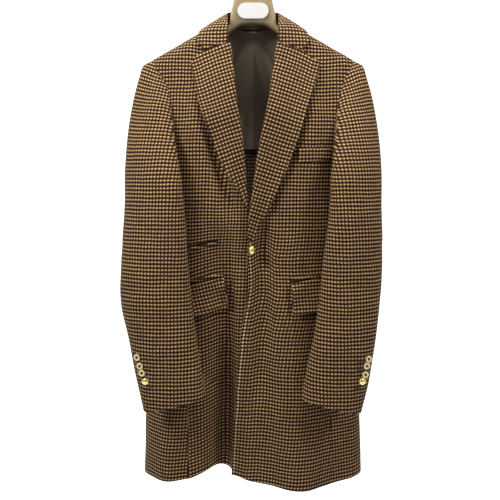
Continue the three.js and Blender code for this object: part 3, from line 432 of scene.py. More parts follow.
collar = {
    "fall": rowNumbers([
        (98, -33.8, -203.2, 114, -29.5, -190), (75, -35.4, -195.6, 112, -27, -180),
        (52, -36.6, -188, 112, -23.5, -174), (50.5, -33, -158, 110, -14, -166), (51.5, -10, -131, 105, 5, -158),
        (49.5, 18, -121, 92, 36, -162), (36, 44, -116, 62, 66, -167), (18, 57, -113, 30, 76, -169),
        (0, 61, -112, 0, 79, -170)], "inX inY inZ outX outY outZ"),
    "stand": rowNumbers([
        (55, -10, -146, -141, 0), (58, 6, -137.4, -132, -3), (49, 26, -141, -124.5, -3),
        (30, 46, -146, -121, -3), (0, 58, -149.4, -118, -1)], "x y low high lean"),
    "crownOut": 2, "crownRise": 2.6, "standLean": 0.4,
}


def aroundNeck(table, u):
    # The side of the neck, and each column of a collar's table there; the last row is at the centre back
    turn = u * 2 - 1
    place = (np.abs(turn) - 1) * (len(table["z"]) - 1)
    return np.where(turn < 0, -1, 1), {name: valueAt(table, name, place) for name in table if name != "z"}


def collarFall(u, v):
    way, here = aroundNeck(collar["fall"], u)
    crown = 4 * v * (1 - v)
    return stack(
        way * mix(here["inX"], here["outX"], v),
        mix(here["inY"], here["outY"], v) + crown * collar["crownOut"] * here["inY"] / body["neckHalf"],
        mix(here["inZ"], here["outZ"], v) + crown * collar["crownRise"])


def collarStand(u, v):
    way, here = aroundNeck(collar["stand"], u)
    lean = here["lean"] * v
    return stack(
        way * (here["x"] + lean * here["x"] / body["neckHalf"]),
        here["y"] + lean * collar["standLean"],
        mix(here["low"], here["high"], v))


lining = {"half": 150, "hem": -397, "clear": 5.6, "pleatHalf": 9, "pleatFlat": 3.6, "pleatDepth": 3,
          "topDrop": 3, "shoulderDrop": 32, "dropFrom": 34, "dropTo": 66}


def liningSurface(u, v):
    x = mix(-lining["half"], lining["half"], u)
    reach = np.abs(x)
    drop = lining["topDrop"] + lining["shoulderDrop"] * smooth(lining["dropFrom"], lining["dropTo"], reach)
    z = mix(topLine(x) - drop, lining["hem"], v)
    pleat = lining["pleatDepth"] * (1 - smooth(lining["pleatFlat"], lining["pleatHalf"], reach))
    right, left = (liftedY(backY, side, x, z, -lining["clear"]) for side in (-1, 1))
    return stack(x, np.where(x < 0, right, left) - pleat, z)


def laidOnFront(side, innerTop, outerTop, innerBottom, outerBottom, lift, flare=0):
    # flare is how far the lower and inner edges stand off beyond the lift
    def surface(u, v):
        off = lift + flare * np.maximum(v**2, (1 - u) ** 5 * smooth(0, 0.3, v))
        x, z = (mix(mix(innerTop[k], outerTop[k], u), mix(innerBottom[k], outerBottom[k], u), v) for k in (0, 1))
        return stack(x, liftedY(frontY, side, x, z, -off), z)
    return surface


# ---- Making a piece of cloth from its surface

cloth = {"thick": 0.0022, "cell": 3.8, "edgeSteps": (0.5, 1.2, 2.2, 3.8), "roll": 1.8, "narrowSteps": 7}


def spread(length):
    # Shares along a side: close together at both ends, where the cloth rolls in, and even between
    steps = np.array([0, *cloth["edgeSteps"]])
    room = length - 2 * steps[-1]
    if room < cloth["cell"]:
        return np.linspace(0, 1, cloth["narrowSteps"])
    middle = np.linspace(steps[-1], length - steps[-1], max(2, round(room / cloth["cell"])) + 1)
    return np.concatenate([steps[:-1], middle, length - steps[:-1][::-1]]) / length


def outwardNormals(points, flip):
    across = np.gradient(points, axis=1)
    down = np.gradient(points, axis=0)
    return unit(np.cross(across, down)) * (1 if flip else -1)


def sideDistances(points):
    # Distance along the cloth from its left, right, top and bottom sides
    acrossRun, downRun = runAlong(points, 1), runAlong(points)
    return acrossRun, acrossRun[:, -1:] - acrossRun, downRun, downRun[-1:] - downRun


def creaseDepth(rows, across, up):
    total = np.zeros(across.shape)
    for xA, zA, xB, zB, wide, deep in rows:
        run = np.hypot(xB - xA, zB - zA)
        along = ((across - xA) * (xB - xA) + (up - zA) * (zB - zA)) / run
        off = ((across - xA) * (zB - zA) - (up - zA) * (xB - xA)) / run
        fade = smooth(-0.2 * run, 0.25 * run, along) * (1 - smooth(0.75 * run, 1.2 * run, along))
        total += deep * np.exp(-((off / wide) ** 2)) * fade
    return total


def grain(points, normals, row, column, level=True, straightBelow=None):
    # Cloth coordinates in millimetres. The cross grain is level along one row and is carried up and down
    # without turning; spacing is kept along every row and column, as it is in knitted cloth
    cross = unit(np.cross([0, 0, 1.0], normals[row]))
    held = np.zeros(points.shape)
    held[row] = cross
    for way in (1, -1):
        j = row
        while 0 <= j + way < len(points):
            normal = normals[j + way]
            held[j + way] = unit(held[j] - (held[j] * normal).sum(-1, keepdims=True) * normal)
            j += way
    downStep = np.diff(points, axis=0)
    between, facing = unit(held[1:] + held[:-1]), unit(normals[1:] + normals[:-1])
    rise = np.concatenate([np.zeros((1, points.shape[1])),
                           np.cumsum((downStep * np.cross(facing, between)).sum(-1), axis=0)])
    downBetween = between
    if column is not None:
        drift = np.concatenate([[0], np.cumsum((downStep * between).sum(-1)[:, column])])
    if straightBelow is not None:  # columns of the pattern follow the edge there
        low = points[:, column, 2] < straightBelow
        drift[low] = drift[low][0]
    acrossStep = np.diff(points, axis=1)
    between, facing = unit(held[:, 1:] + held[:, :-1]), unit(normals[:, 1:] + normals[:, :-1])
    run = np.concatenate([np.zeros((len(points), 1)), np.cumsum((acrossStep * between).sum(-1), axis=1)], axis=1)
    if column is None:
        drift = np.cumsum((downStep * downBetween).sum(-1), axis=0)
        drift = np.concatenate([np.zeros((1, points.shape[1])), drift])
        across = run[row] + drift - drift[row]
    else:
        across = run - run[:, column:column + 1] + (drift - drift[row])[:, None]
    lift = np.concatenate([[0], np.cumsum((acrossStep * np.cross(facing, between)).sum(-1)[row])])
    start = points[row][:, 2] if level else lift + points[row][0, 2]
    return np.stack([across, rise - rise[row] + start], axis=-1)


def finishPiece(piece, *materials):
    for material in materials:
        piece.data.materials.append(material)
    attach(piece, "root")
    return piece


def standFor(piece, node, slot, material):
    finishPiece(piece, material)
    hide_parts(node)


def shadeSmooth(mesh, smooth=True):
    mesh.polygons.foreach_set("use_smooth", np.full(len(mesh.polygons), smooth))


def newObject(name, bm):
    mesh = bpy.data.meshes.new(name)
    bm.to_mesh(mesh)
    bm.free()
    shadeSmooth(mesh)
    piece = bpy.data.objects.new(name, mesh)
    bpy.context.scene.collection.objects.link(piece)
    return piece


def addGrid(bm, points, flip=False):
    # A grid from the operator, with its corners carried to the points
    rows, cols = points.shape[:2]
    made = bmesh.ops.create_grid(bm, x_segments=cols - 1, y_segments=rows - 1, size=1)["verts"]
    bm.verts.index_update()
    made.sort(key=lambda vert: vert.index)
    place = np.array([v.co[:] for v in made])
    i = np.rint((place[:, 0] + 1) / 2 * (cols - 1)).astype(int)
    j = np.rint((1 - place[:, 1]) / 2 * (rows - 1)).astype(int)
    for vert, point in zip(made, points[j, i] / 1000):
        vert.co = point
    if flip:
        bmesh.ops.reverse_faces(bm, faces=list({face for vert in made for face in vert.link_faces}))
    return i, j


def mappedGrid(name, points, flip, pattern=None):
    # One grid as an object, with a UV map of cloth coordinates
    bm = bmesh.new()
    i, j = addGrid(bm, points, flip)
    piece = newObject(name, bm)
    if pattern is not None:
        layer = piece.data.uv_layers.new(name="cloth")
        corner = np.zeros(len(piece.data.loops), int)
        piece.data.loops.foreach_get("vertex_index", corner)
        layer.data.foreach_set("uv", (pattern[j, i] / 1000)[corner].ravel())
    return piece


def flatCut(pattern):
    # Width, length and area of the cut piece, in metres, from its cloth coordinates
    width, length = np.ptp(pattern[..., 0]) / 1000, np.ptp(pattern[..., 1]) / 1000
    a, b = np.diff(pattern, axis=1)[:-1], np.diff(pattern, axis=0)[:, :-1]
    area = np.abs(a[..., 0] * b[..., 1] - a[..., 1] * b[..., 0]).sum() / 1e6
    return round(width, 3), round(length, 3), round(min(area, width * length), 4)


def stripCut(points):
    # Width, length and area of a narrow strip, which is cut straight and sewn in on a slant
    width, length = (runAlong(line)[-1] / 1000 for line in (points[0], points[:, 0]))
    width, length = round(width, 3), round(length, 4)
    return width, length, round(width * length * 0.99, 6)


def clothPiece(name, surface, size, flip, look):
    # look holds creases, where rows are level, a change of the pattern, which sides roll in, thickness,
    # materials and the size of the faint unevenness
    u, v = np.meshgrid(spread(size[0]), spread(size[1]))
    points = surface(u, v)
    normals = outwardNormals(points, flip)
    row = int(np.abs(v[:, 0] - look.get("levelAt", 0.5)).argmin())
    column = int(np.abs(u[0] - look["grainAt"]).argmin()) if "grainAt" in look else None
    pattern = grain(points, normals, row, column, look.get("level", True), look.get("straightBelow"))
    cut = stripCut(points) if look.get("strip") else flatCut(pattern)
    if "pattern" in look:
        pattern = look["pattern"](pattern, points)
    depth = np.zeros(u.shape)
    if "creases" in look:
        across, up = look.get("creasePlane", lambda p, u: (p[..., 0], p[..., 2]))(points, u)
        depth = creaseDepth(look["creases"], across, up)
    x, z = pattern[..., 0], pattern[..., 1]
    # Faint unevenness, in lengths that don't fall together
    uneven = np.sin(x / 13 + z / 41) * np.sin(z / 29 - x / 37) + 0.6 * np.sin(x / 7.7 - z / 55)
    depth = depth + look["wave"] * uneven
    for distance, rolled in zip(sideDistances(points), look.get("rolled", (1, 1, 1, 1))):
        if rolled:
            inside = np.clip(cloth["roll"] - distance, 0, None)
            depth = depth + cloth["roll"] - np.sqrt(cloth["roll"] ** 2 - inside**2)
    piece = mappedGrid(name, points - normals * depth[..., None], flip, pattern)
    wall = piece.modifiers.new("wall", "SOLIDIFY")
    wall.thickness = look.get("thick", cloth["thick"])
    wall.offset = -1
    wall.material_offset = 1
    wall.use_quality_normals = True
    finishPiece(piece, *look["materials"])
    look.get("slot", "jersey")
    if look.get("node", name):
        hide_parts(look.get("node", name))
    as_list(look.get("restsOn", ["hanger_body"]))
    cuts.append((name, *cut))
    return piece


cuts = []


# ---- Materials

def addNode(tree, kind, inputs=None, **settings):
    made = tree.nodes.new(kind)
    for key, value in settings.items():
        setattr(made, key, value)
    for key, value in (inputs or {}).items():
        if isinstance(value, bpy.types.NodeSocket):
            tree.links.new(value, made.inputs[key])
        else:
            made.inputs[key].default_value = value
    return made


def calc(tree, operation, *values, clamp=False):
    made = addNode(tree, "ShaderNodeMath", dict(enumerate(values)), operation=operation, use_clamp=clamp)
    return made.outputs[0]


def blendColour(tree, share, a, b, mode="MIX"):
    made = addNode(tree, "ShaderNodeMix", data_type="RGBA", blend_type=mode)
    for index, value in ((0, share), (6, a), (7, b)):
        if isinstance(value, bpy.types.NodeSocket):
            tree.links.new(value, made.inputs[index])
        else:
            made.inputs[index].default_value = value
    return made.outputs[2]


def noise(tree, vector, scale, detail=2.0):
    made = addNode(tree, "ShaderNodeTexNoise", {"Vector": vector, "Scale": scale, "Detail": detail})
    return made.outputs["Fac"]


def ranged(tree, value, fromMin=0.0, fromMax=1.0, toMin=0.0, toMax=1.0):
    made = addNode(tree, "ShaderNodeMapRange", {"Value": value, "From Min": fromMin, "From Max": fromMax,
                                                "To Min": toMin, "To Max": toMax})
    return made.outputs[0]


def shaded(tree, colour, tone):
    # The colour times one number
    grey = addNode(tree, "ShaderNodeCombineColor", {0: tone, 1: tone, 2: tone})
    return blendColour(tree, 1.0, colour, grey.outputs[0], "MULTIPLY")


def objectPlace(tree):
    return addNode(tree, "ShaderNodeTexCoord").outputs["Object"]


def clothPlace(tree):
    return addNode(tree, "ShaderNodeUVMap", uv_map="cloth").outputs[0]


def newGroup(name, inputs, outputs):
    tree = bpy.data.node_groups.new(name, "ShaderNodeTree")
    for label, kind, value in inputs:
        socket = tree.interface.new_socket(label, in_out="INPUT", socket_type=kind)
        if value is not None:
            socket.default_value = value
    for label, kind in outputs:
        tree.interface.new_socket(label, in_out="OUTPUT", socket_type=kind)
    return tree, tree.nodes.new("NodeGroupInput"), tree.nodes.new("NodeGroupOutput")


knit = {  # stitches from one dot to the next, a dot's half sizes in stitches, and the drift in metres
    "wales": 5.0, "courses": 6.0, "halfWide": 1.5, "halfTall": 1.62, "slant": 1.3, "drift": 0.0035,
}


def dotJerseyGroup():
    # Knitted stitches with one pale dot to each block of wales and courses
    tree, start, end = newGroup(
        "dotJersey",
        [("Cloth", "NodeSocketVector", None), ("Wale", "NodeSocketFloat", 1.35), ("Course", "NodeSocketFloat", 1.25),
         ("Dot Size", "NodeSocketFloat", 1.0), ("Dot", "NodeSocketColor", (1, 1, 1, 1)),
         ("Between", "NodeSocketColor", (0.2, 0.1, 0.05, 1)), ("Ground", "NodeSocketColor", (0, 0, 0, 1))],
        [("Colour", "NodeSocketColor"), ("Height", "NodeSocketFloat"), ("Dots", "NodeSocketFloat")])
    wander = addNode(tree, "ShaderNodeTexNoise", {"Vector": start.outputs["Cloth"], "Scale": 22.0, "Detail": 1.0})
    shift = addNode(tree, "ShaderNodeVectorMath", {0: wander.outputs["Color"], 1: (0.5, 0.5, 0.5)},
                    operation="SUBTRACT")
    moved = addNode(tree, "ShaderNodeVectorMath", {0: shift.outputs[0], "Scale": knit["drift"]}, operation="SCALE")
    place = addNode(tree, "ShaderNodeVectorMath", {0: start.outputs["Cloth"], 1: moved.outputs[0]},
                    operation="ADD")
    split = addNode(tree, "ShaderNodeSeparateXYZ", {0: place.outputs[0]})
    across = calc(tree, "DIVIDE", calc(tree, "MULTIPLY", split.outputs[0], 1000.0), start.outputs["Wale"])
    up = calc(tree, "DIVIDE", calc(tree, "MULTIPLY", split.outputs[1], 1000.0), start.outputs["Course"])
    arm = calc(tree, "ABSOLUTE", calc(tree, "SUBTRACT", calc(tree, "FRACT", across), 0.5))
    leaned = calc(tree, "SUBTRACT", up, calc(tree, "MULTIPLY", arm, knit["slant"]))

    def offCentre(stitches, block, half):
        # How far a stitch lies from the middle of its block, in half sizes of the dot
        inBlock = calc(tree, "FLOORED_MODULO", calc(tree, "FLOOR", stitches), block)
        return calc(tree, "DIVIDE", calc(tree, "SUBTRACT", inBlock, (block - 1) / 2), half)

    def ownNumber(across, leaned):
        whole = addNode(tree, "ShaderNodeCombineXYZ", {0: calc(tree, "FLOOR", across),
                                                       1: calc(tree, "FLOOR", leaned)})
        made = addNode(tree, "ShaderNodeTexWhiteNoise", {"Vector": whole.outputs[0]}, noise_dimensions="2D")
        return made.outputs["Value"]

    offAcross = offCentre(across, knit["wales"], knit["halfWide"])
    offUp = offCentre(leaned, knit["courses"], knit["halfTall"])
    far = calc(tree, "ADD", calc(tree, "MULTIPLY", offAcross, offAcross), calc(tree, "MULTIPLY", offUp, offUp))
    edge = ranged(tree, calc(tree, "DIVIDE", far, start.outputs["Dot Size"]), 0.98, 0.62)
    inRow = ranged(tree, calc(tree, "ABSOLUTE", offUp), 0.7, 0.3)
    eachDot = ownNumber(calc(tree, "DIVIDE", across, knit["wales"]), calc(tree, "DIVIDE", leaned, knit["courses"]))
    dots = calc(tree, "MULTIPLY", edge, calc(tree, "MULTIPLY_ADD", eachDot, 0.24, 0.8))
    ground = blendColour(tree, inRow, start.outputs["Ground"], start.outputs["Between"])
    colour = blendColour(tree, dots, ground, start.outputs["Dot"])
    colour = shaded(tree, colour, calc(tree, "MULTIPLY_ADD", ownNumber(across, leaned), 0.3, 0.82))
    legs = calc(tree, "SUBTRACT", 1.0, calc(tree, "MULTIPLY", calc(tree, "ABSOLUTE", calc(
        tree, "SUBTRACT", arm, 0.25)), 3.2))
    loop = calc(tree, "SINE", calc(tree, "MULTIPLY", calc(tree, "FRACT", leaned), 3.14159))
    height = calc(tree, "MULTIPLY", legs, calc(tree, "MULTIPLY_ADD", loop, 0.6, 0.4))
    height = calc(tree, "MULTIPLY_ADD", dots, 0.35, height)
    tree.links.new(colour, end.inputs["Colour"])
    tree.links.new(height, end.inputs["Height"])
    tree.links.new(dots, end.inputs["Dots"])
    return tree


def napGroup():
    # Broad, faint changes of tone and fine fuzz
    tree, start, end = newGroup(
        "nap", [("Colour", "NodeSocketColor", (1, 1, 1, 1)), ("Amount", "NodeSocketFloat", 0.1),
                ("Fuzz", "NodeSocketFloat", 0.1)], [("Colour", "NodeSocketColor"), ("Roughness", "NodeSocketFloat")])
    place = objectPlace(tree)
    broad = calc(tree, "SUBTRACT", noise(tree, place, 7.0, 3.0), 0.5)
    fine = calc(tree, "SUBTRACT", noise(tree, place, 900.0, 2.0), 0.5)
    tone = calc(tree, "MULTIPLY_ADD", broad, start.outputs["Amount"], 1.0)
    tone = calc(tree, "MULTIPLY_ADD", fine, start.outputs["Fuzz"], tone)
    tree.links.new(shaded(tree, start.outputs["Colour"], tone), end.inputs["Colour"])
    tree.links.new(calc(tree, "MULTIPLY_ADD", fine, 0.12, 0.86), end.inputs["Roughness"])
    return tree


dotJersey, nap = dotJerseyGroup(), napGroup()


def newMaterial(name, **sockets):
    material = bpy.data.materials.new(name)
    material.use_nodes = True
    tree = material.node_tree
    shader = tree.nodes["Principled BSDF"]
    for key, value in sockets.items():
        shader.inputs[key.replace("_", " ")].default_value = value
    return material, tree, shader


def addBump(tree, shader, height, strength, distance):
    made = addNode(tree, "ShaderNodeBump", {"Strength": strength, "Distance": distance, "Height": height})
    tree.links.new(made.outputs[0], shader.inputs["Normal"])


def addNap(tree, shader, colour, amount, fuzz):
    made = addNode(tree, "ShaderNodeGroup", {"Colour": colour, "Amount": amount, "Fuzz": fuzz}, node_tree=nap)
    tree.links.new(made.outputs["Colour"], shader.inputs["Base Color"])
    return made


def rgb(*parts):
    return (*parts, 1)


# The last entry is how much the dots of the painted edge highlight grow
jersey = {
    "dot": rgb(0.77, 0.54, 0.265), "between": rgb(0.1, 0.044, 0.018), "ground": rgb(0.04, 0.0128, 0.005),
    "dotSize": 1.0, "nap": 0.35, "bump": 0.45, "bumpHeight": 0.0004, "sheen": 0.03, "edgeHighlightLarger": 0.35,
}


def jerseyMaterial(name, look, edgeHighlightWidth=None):
    # the last argument: dots that lie within this many metres of the turned edge show larger and brighter, a painted
    # highlight where the rolled edge catches the light
    material, tree, shader = newMaterial(
        name, Sheen_Weight=look["sheen"], Sheen_Roughness=0.5, Sheen_Tint=(0.8, 0.6, 0.45, 1),
        Specular_IOR_Level=0.12)
    uv = clothPlace(tree)
    stitches = addNode(tree, "ShaderNodeGroup", {
        "Cloth": uv, "Dot": look["dot"], "Between": look["between"], "Ground": look["ground"],
        "Dot Size": look["dotSize"]}, node_tree=dotJersey)
    if edgeHighlightWidth:
        # Painted highlight: near the turned edge the dots grow and turn paler
        across = addNode(tree, "ShaderNodeSeparateXYZ", {0: uv}).outputs[0]
        edgeHighlightMask = ranged(tree, across, edgeHighlightWidth + 0.0002, edgeHighlightWidth)
        larger = calc(tree, "MULTIPLY_ADD", edgeHighlightMask, look["edgeHighlightLarger"], 1.0)
        tree.links.new(larger, stitches.inputs["Dot Size"])
        tree.links.new(blendColour(tree, edgeHighlightMask, look["dot"], look["edgeHighlightDot"]), stitches.inputs["Dot"])
    fuzz = addNap(tree, shader, stitches.outputs["Colour"], look["nap"], look["nap"])
    tree.links.new(fuzz.outputs["Roughness"], shader.inputs["Roughness"])
    addBump(tree, shader, stitches.outputs["Height"], look["bump"], look["bumpHeight"])
    return material


jerseyFace = jerseyMaterial("jerseyFace", jersey)
# Painted highlight: larger, paler dots along the turned edge, where the rolled edge catches the light
jerseyEdgeHighlight = jerseyMaterial("jerseyEdgeHighlight", dict(jersey, edgeHighlightDot=rgb(0.98, 0.8, 0.5)), edgeHighlightWidth=0.0068)
jerseyReverse = jerseyMaterial("jerseyReverse", dict(
    jersey, dot=rgb(0.5, 0.37, 0.23), between=rgb(0.2, 0.135, 0.085), ground=rgb(0.1, 0.065, 0.045), dotSize=0.7))
# Dark cloth for the collar stand, painted shade for the deep shade inside the neck
shadedStandCloth = jerseyMaterial("shadedStandCloth", dict(
    jersey, dot=rgb(0.07, 0.05, 0.035), between=rgb(0.05, 0.034, 0.024), ground=rgb(0.035, 0.024, 0.017)))
# Near-black cloth, painted shade for the pocket slits
slitShadeCloth = jerseyMaterial("slitShadeCloth", dict(
    jersey, dot=rgb(0.03, 0.02, 0.014), between=rgb(0.014, 0.009, 0.006), ground=rgb(0.008, 0.005, 0.004)))


# Painted light and shade on the lining: the open pleat is lightened, and its turned side and the cloth above its
# arch are darkened as painted shade
pleat = {  # the lining's ease pleat, in metres: where it starts, how it spreads, and how dark its parts are
    "top": -0.19, "slant": 0.32, "soft": 0.004, "crisp": 0.0012, "archTop": -0.176, "archCurve": 28.0,
    "openPaintedLight": 1.3, "turned": 0.5, "above": 0.6,
}


def softStep(tree, value, soft):
    return ranged(tree, value, -soft, soft)


def twillMaterial():
    # Lining twill: fine diagonal lines and a soft sheen, with painted light and shade on its ease pleat
    material, tree, shader = newMaterial("liningTwill", Sheen_Weight=0.05, Sheen_Roughness=0.35,
                                         Specular_IOR_Level=0.3)
    leaned = addNode(tree, "ShaderNodeMapping", {"Vector": clothPlace(tree), "Rotation": (0, 0, 1.1)})
    lines = addNode(tree, "ShaderNodeTexWave", {"Vector": leaned.outputs[0], "Scale": 380.0, "Distortion": 0.6},
                    bands_direction="X").outputs["Fac"]
    base = blendColour(tree, lines, rgb(0.19, 0.142, 0.098), rgb(0.4, 0.3, 0.21))
    # Painted shade: the turned side of the ease pleat and the cloth above its arch are darker, and the open pleat is
    # lightened as painted light
    where = addNode(tree, "ShaderNodeSeparateXYZ", {0: objectPlace(tree)})
    x, z = where.outputs[0], where.outputs[2]
    reach = calc(tree, "MULTIPLY", calc(tree, "SUBTRACT", pleat["top"], z), pleat["slant"])
    turned = softStep(tree, calc(tree, "SUBTRACT", reach, x), pleat["soft"])
    turned = calc(tree, "MULTIPLY", turned, softStep(tree, x, pleat["crisp"]))
    arch = calc(tree, "MULTIPLY_ADD", calc(tree, "MULTIPLY", x, x), pleat["archCurve"], z)
    above = softStep(tree, calc(tree, "SUBTRACT", arch, pleat["archTop"]), pleat["soft"] * 2)
    shade = calc(tree, "MULTIPLY_ADD", turned, -pleat["turned"], pleat["openPaintedLight"])
    shade = calc(tree, "MULTIPLY", shade, calc(tree, "MULTIPLY_ADD", above, -pleat["above"], 1.0))
    addNap(tree, shader, shaded(tree, base, shade), 0.5, 0.1)
    tree.links.new(ranged(tree, lines, toMin=0.42, toMax=0.55), shader.inputs["Roughness"])
    addBump(tree, shader, lines, 0.25, 0.0003)
    return material


def mouldedMaterial(name, colour, cloudy, roughness, coat=0.0):
    # Moulded plastic: even colour with faint cloudiness, fine pitting and small scuffs
    material, tree, shader = newMaterial(name, Coat_Weight=coat, Coat_Roughness=0.2)
    place = objectPlace(tree)
    tree.links.new(blendColour(tree, noise(tree, place, 14.0, 3.0), colour, cloudy), shader.inputs["Base Color"])
    scuff = noise(tree, place, 220.0, 4.0)
    tree.links.new(ranged(tree, scuff, 0.3, 0.7, roughness - 0.06, roughness + 0.08), shader.inputs["Roughness"])
    addBump(tree, shader, scuff, 0.12, 0.0002)
    return material


def metalMaterial(name, colour, dark, roughness, scale):
    # Brushed or plated metal with dulled patches and fine scratches
    material, tree, shader = newMaterial(name, Metallic=1.0)
    place = objectPlace(tree)
    tree.links.new(blendColour(tree, noise(tree, place, scale, 3.0), colour, dark), shader.inputs["Base Color"])
    stretched = addNode(tree, "ShaderNodeMapping", {"Vector": place, "Scale": (1, 1, 0.08)})
    scratch = noise(tree, stretched.outputs[0], scale * 14, 3.0)
    rough = ranged(tree, scratch, toMin=roughness - 0.08, toMax=roughness + 0.12)
    tree.links.new(rough, shader.inputs["Roughness"])
    addBump(tree, shader, scratch, 0.1, 0.0001)
    return material


def threadMaterial(name, colour):
    # Twisted thread, darker between its turns
    material, tree, shader = newMaterial(name, Roughness=0.8, Sheen_Weight=0.2)
    twist = addNode(tree, "ShaderNodeTexWave", {"Vector": objectPlace(tree), "Scale": 700.0, "Distortion": 2.0})
    dark = rgb(*(part * 0.45 for part in colour[:3]))
    tree.links.new(blendColour(tree, twist.outputs["Fac"], dark, colour), shader.inputs["Base Color"])
    addBump(tree, shader, twist.outputs["Fac"], 0.5, 0.0003)
    return material


twill = twillMaterial()
khakiPlastic = mouldedMaterial("khakiPlastic", rgb(0.42, 0.325, 0.165), rgb(0.36, 0.275, 0.14), 0.36)
whitePlate = mouldedMaterial("whitePlate", rgb(0.86, 0.85, 0.82), rgb(0.82, 0.81, 0.78), 0.3, coat=0.2)
platedWire = metalMaterial("platedWire", rgb(0.72, 0.72, 0.71), rgb(0.6, 0.6, 0.6), 0.2, 60)
goldMetal = metalMaterial("goldMetal", rgb(0.8, 0.6, 0.24), rgb(0.6, 0.42, 0.14), 0.3, 160)
ringMetal = metalMaterial("ringMetal", rgb(0.62, 0.52, 0.3), rgb(0.44, 0.36, 0.2), 0.42, 160)
darkThread = threadMaterial("darkThread", rgb(0.028, 0.018, 0.016))
print("materials made")


# ---- The coat's panels

# The second pair's face carries the painted highlight along the left front's turned edge
shell, edgeHighlighted = [jerseyFace, jerseyReverse], [jerseyEdgeHighlight, jerseyReverse]

# Creases: x and z of the two ends, width, and depth, above zero for a trough
fronts = {
    "front_left": [
        (89, -505, 90, -668, 2.4, 2.2), (93, -505, 94, -668, 2.4, -1.2), (76, -702, 77, -897, 2.2, 2.4),
        (81, -702, 82, -897, 2.4, -1.6), (90, -397, 158, -390, 1.8, 2.4), (52, -700, 60, -1040, 22, -3.2),
        (84, -735, 166, -728, 3, 3.0), (73, -676, 79, -735, 3.4, 4.5), (90, -429, 158, -422, 2.0, 2.6),
        (24, -545, 24, -635, 11, 9.0), (21, -640, 30, -800, 12, 3.0), (110, -300, 60, -455, 13, 8.0),
        (56, -455, 32, -530, 10, 6.0),
        (128, -640, 120, -800, 16, -1.8), (20, -480, 60, -560, 16, 1.6), (8, -560, 60, -640, 12, -1.4),
        (140, -760, 100, -1060, 18, 2.6), (34, -860, 40, -1080, 12, 2.2), (120, -250, 150, -330, 14, 1.8)],
    "front_right": [
        (-57, -716, -59, -922, 3, 2.2), (-85, -402, -88, -500, 5, 2.4), (-46, -480, -46, -682, 4, 2.2),
        (-72, -400, -40, -560, 14, 4.0), (-96, -878, -70, -884, 3, 2.4), (-48, -740, -55, -1090, 10, 7.0),
        (-50, -729, -134, -748, 6, 5.5), (-47, -664, -41, -728, 5, 5.5), (-106, -300, -58, -455, 14, 9.0),
        (-56, -455, -34, -525, 10, 6.5),
        (-100, -700, -112, -1040, 20, -3.0), (-20, -600, -70, -700, 16, 1.8), (-12, -640, -60, -760, 12, -1.2),
        (-134, -800, -120, -1070, 14, 2.4), (-128, -260, -140, -340, 12, 1.8)],
}
backs = {
    "back_left": [(60, -300, 120, -420, 18, 2.2), (30, -260, 60, -330, 12, -1.4), (110, -560, 60, -700, 20, 2.0),
                  (60, -760, 70, -1080, 14, 2.6), (130, -800, 138, -1080, 16, -2.4), (36, -500, 90, -560, 14, -1.6)],
    "back_right": [(-56, -310, -116, -430, 18, 2.2), (-30, -240, -64, -320, 12, -1.4),
                   (-106, -540, -54, -690, 20, 2.0), (-48, -780, -52, -1080, 14, 2.4),
                   (-118, -780, -124, -1080, 16, -2.2), (-30, -520, -84, -580, 14, -1.6)],
}


rowClimb = {"by": 6.5, "x": 21, "wide": 19, "low": (-880, -660), "high": (-600, -540), "across": 2.3}
rowRise = {"by": 19, "across": (-160, -62), "high": (-640, -500)}


def edgeColumn(pattern, points):
    # A column of dots lies along the left front's edge, and rows climb over the valley beside the button
    x, z = points[..., 0], points[..., 2]
    climb = rowClimb["by"] * np.exp(-(((x - rowClimb["x"]) / rowClimb["wide"]) ** 4))
    climb = climb * smooth(*rowClimb["low"], z) * (1 - smooth(*rowClimb["high"], z))
    return pattern + np.stack([0 * climb + rowClimb["across"], -climb], axis=-1)


def risingRows(pattern, points):
    # The right front is drawn up towards its fold below the chest
    x, z = points[..., 0], points[..., 2]
    lift = rowRise["by"] * smooth(*rowRise["across"], x) * (1 - smooth(*rowRise["high"], z))
    return pattern - np.stack([0 * lift, lift], axis=-1)


def turnedGrain(degrees):
    # The piece is cut on a slant
    angle = np.radians(degrees)

    def move(pattern, points):
        across, up = pattern[..., 0], pattern[..., 1]
        return np.stack([across * np.cos(angle) - up * np.sin(angle),
                         across * np.sin(angle) + up * np.cos(angle)], axis=-1)
    return move


frontLook = {
    1: {"materials": edgeHighlighted, "pattern": edgeColumn, "grainAt": 0, "straightBelow": -600},
    -1: {"materials": shell, "pattern": risingRows, "grainAt": 0.5},
}
for side in (1, -1):
    name = f"front_{word(side)}"
    clothPiece(name, frontSurface(side), (215, 950), side < 0, {
        **frontLook[side], "creases": fronts[name], "levelAt": 0.45, "wave": 0.4})
    name = f"back_{word(side)}"
    clothPiece(name, backSurface(side), (205, 950), side > 0, {
        "creases": backs[name], "levelAt": 0.45, "grainAt": 0.5, "materials": shell, "wave": 0.5})
    clothPiece(f"side_{word(side)}", sideSurface(side), (125, 650), side < 0, {
        "levelAt": 0.1, "grainAt": 0.5, "materials": shell, "wave": 0.4})
print("body panels made")


def sleevePlane(points, u):
    # Round the sleeve by its share of the panel, and down by height, both in millimetres
    return u * 170, points[..., 2]


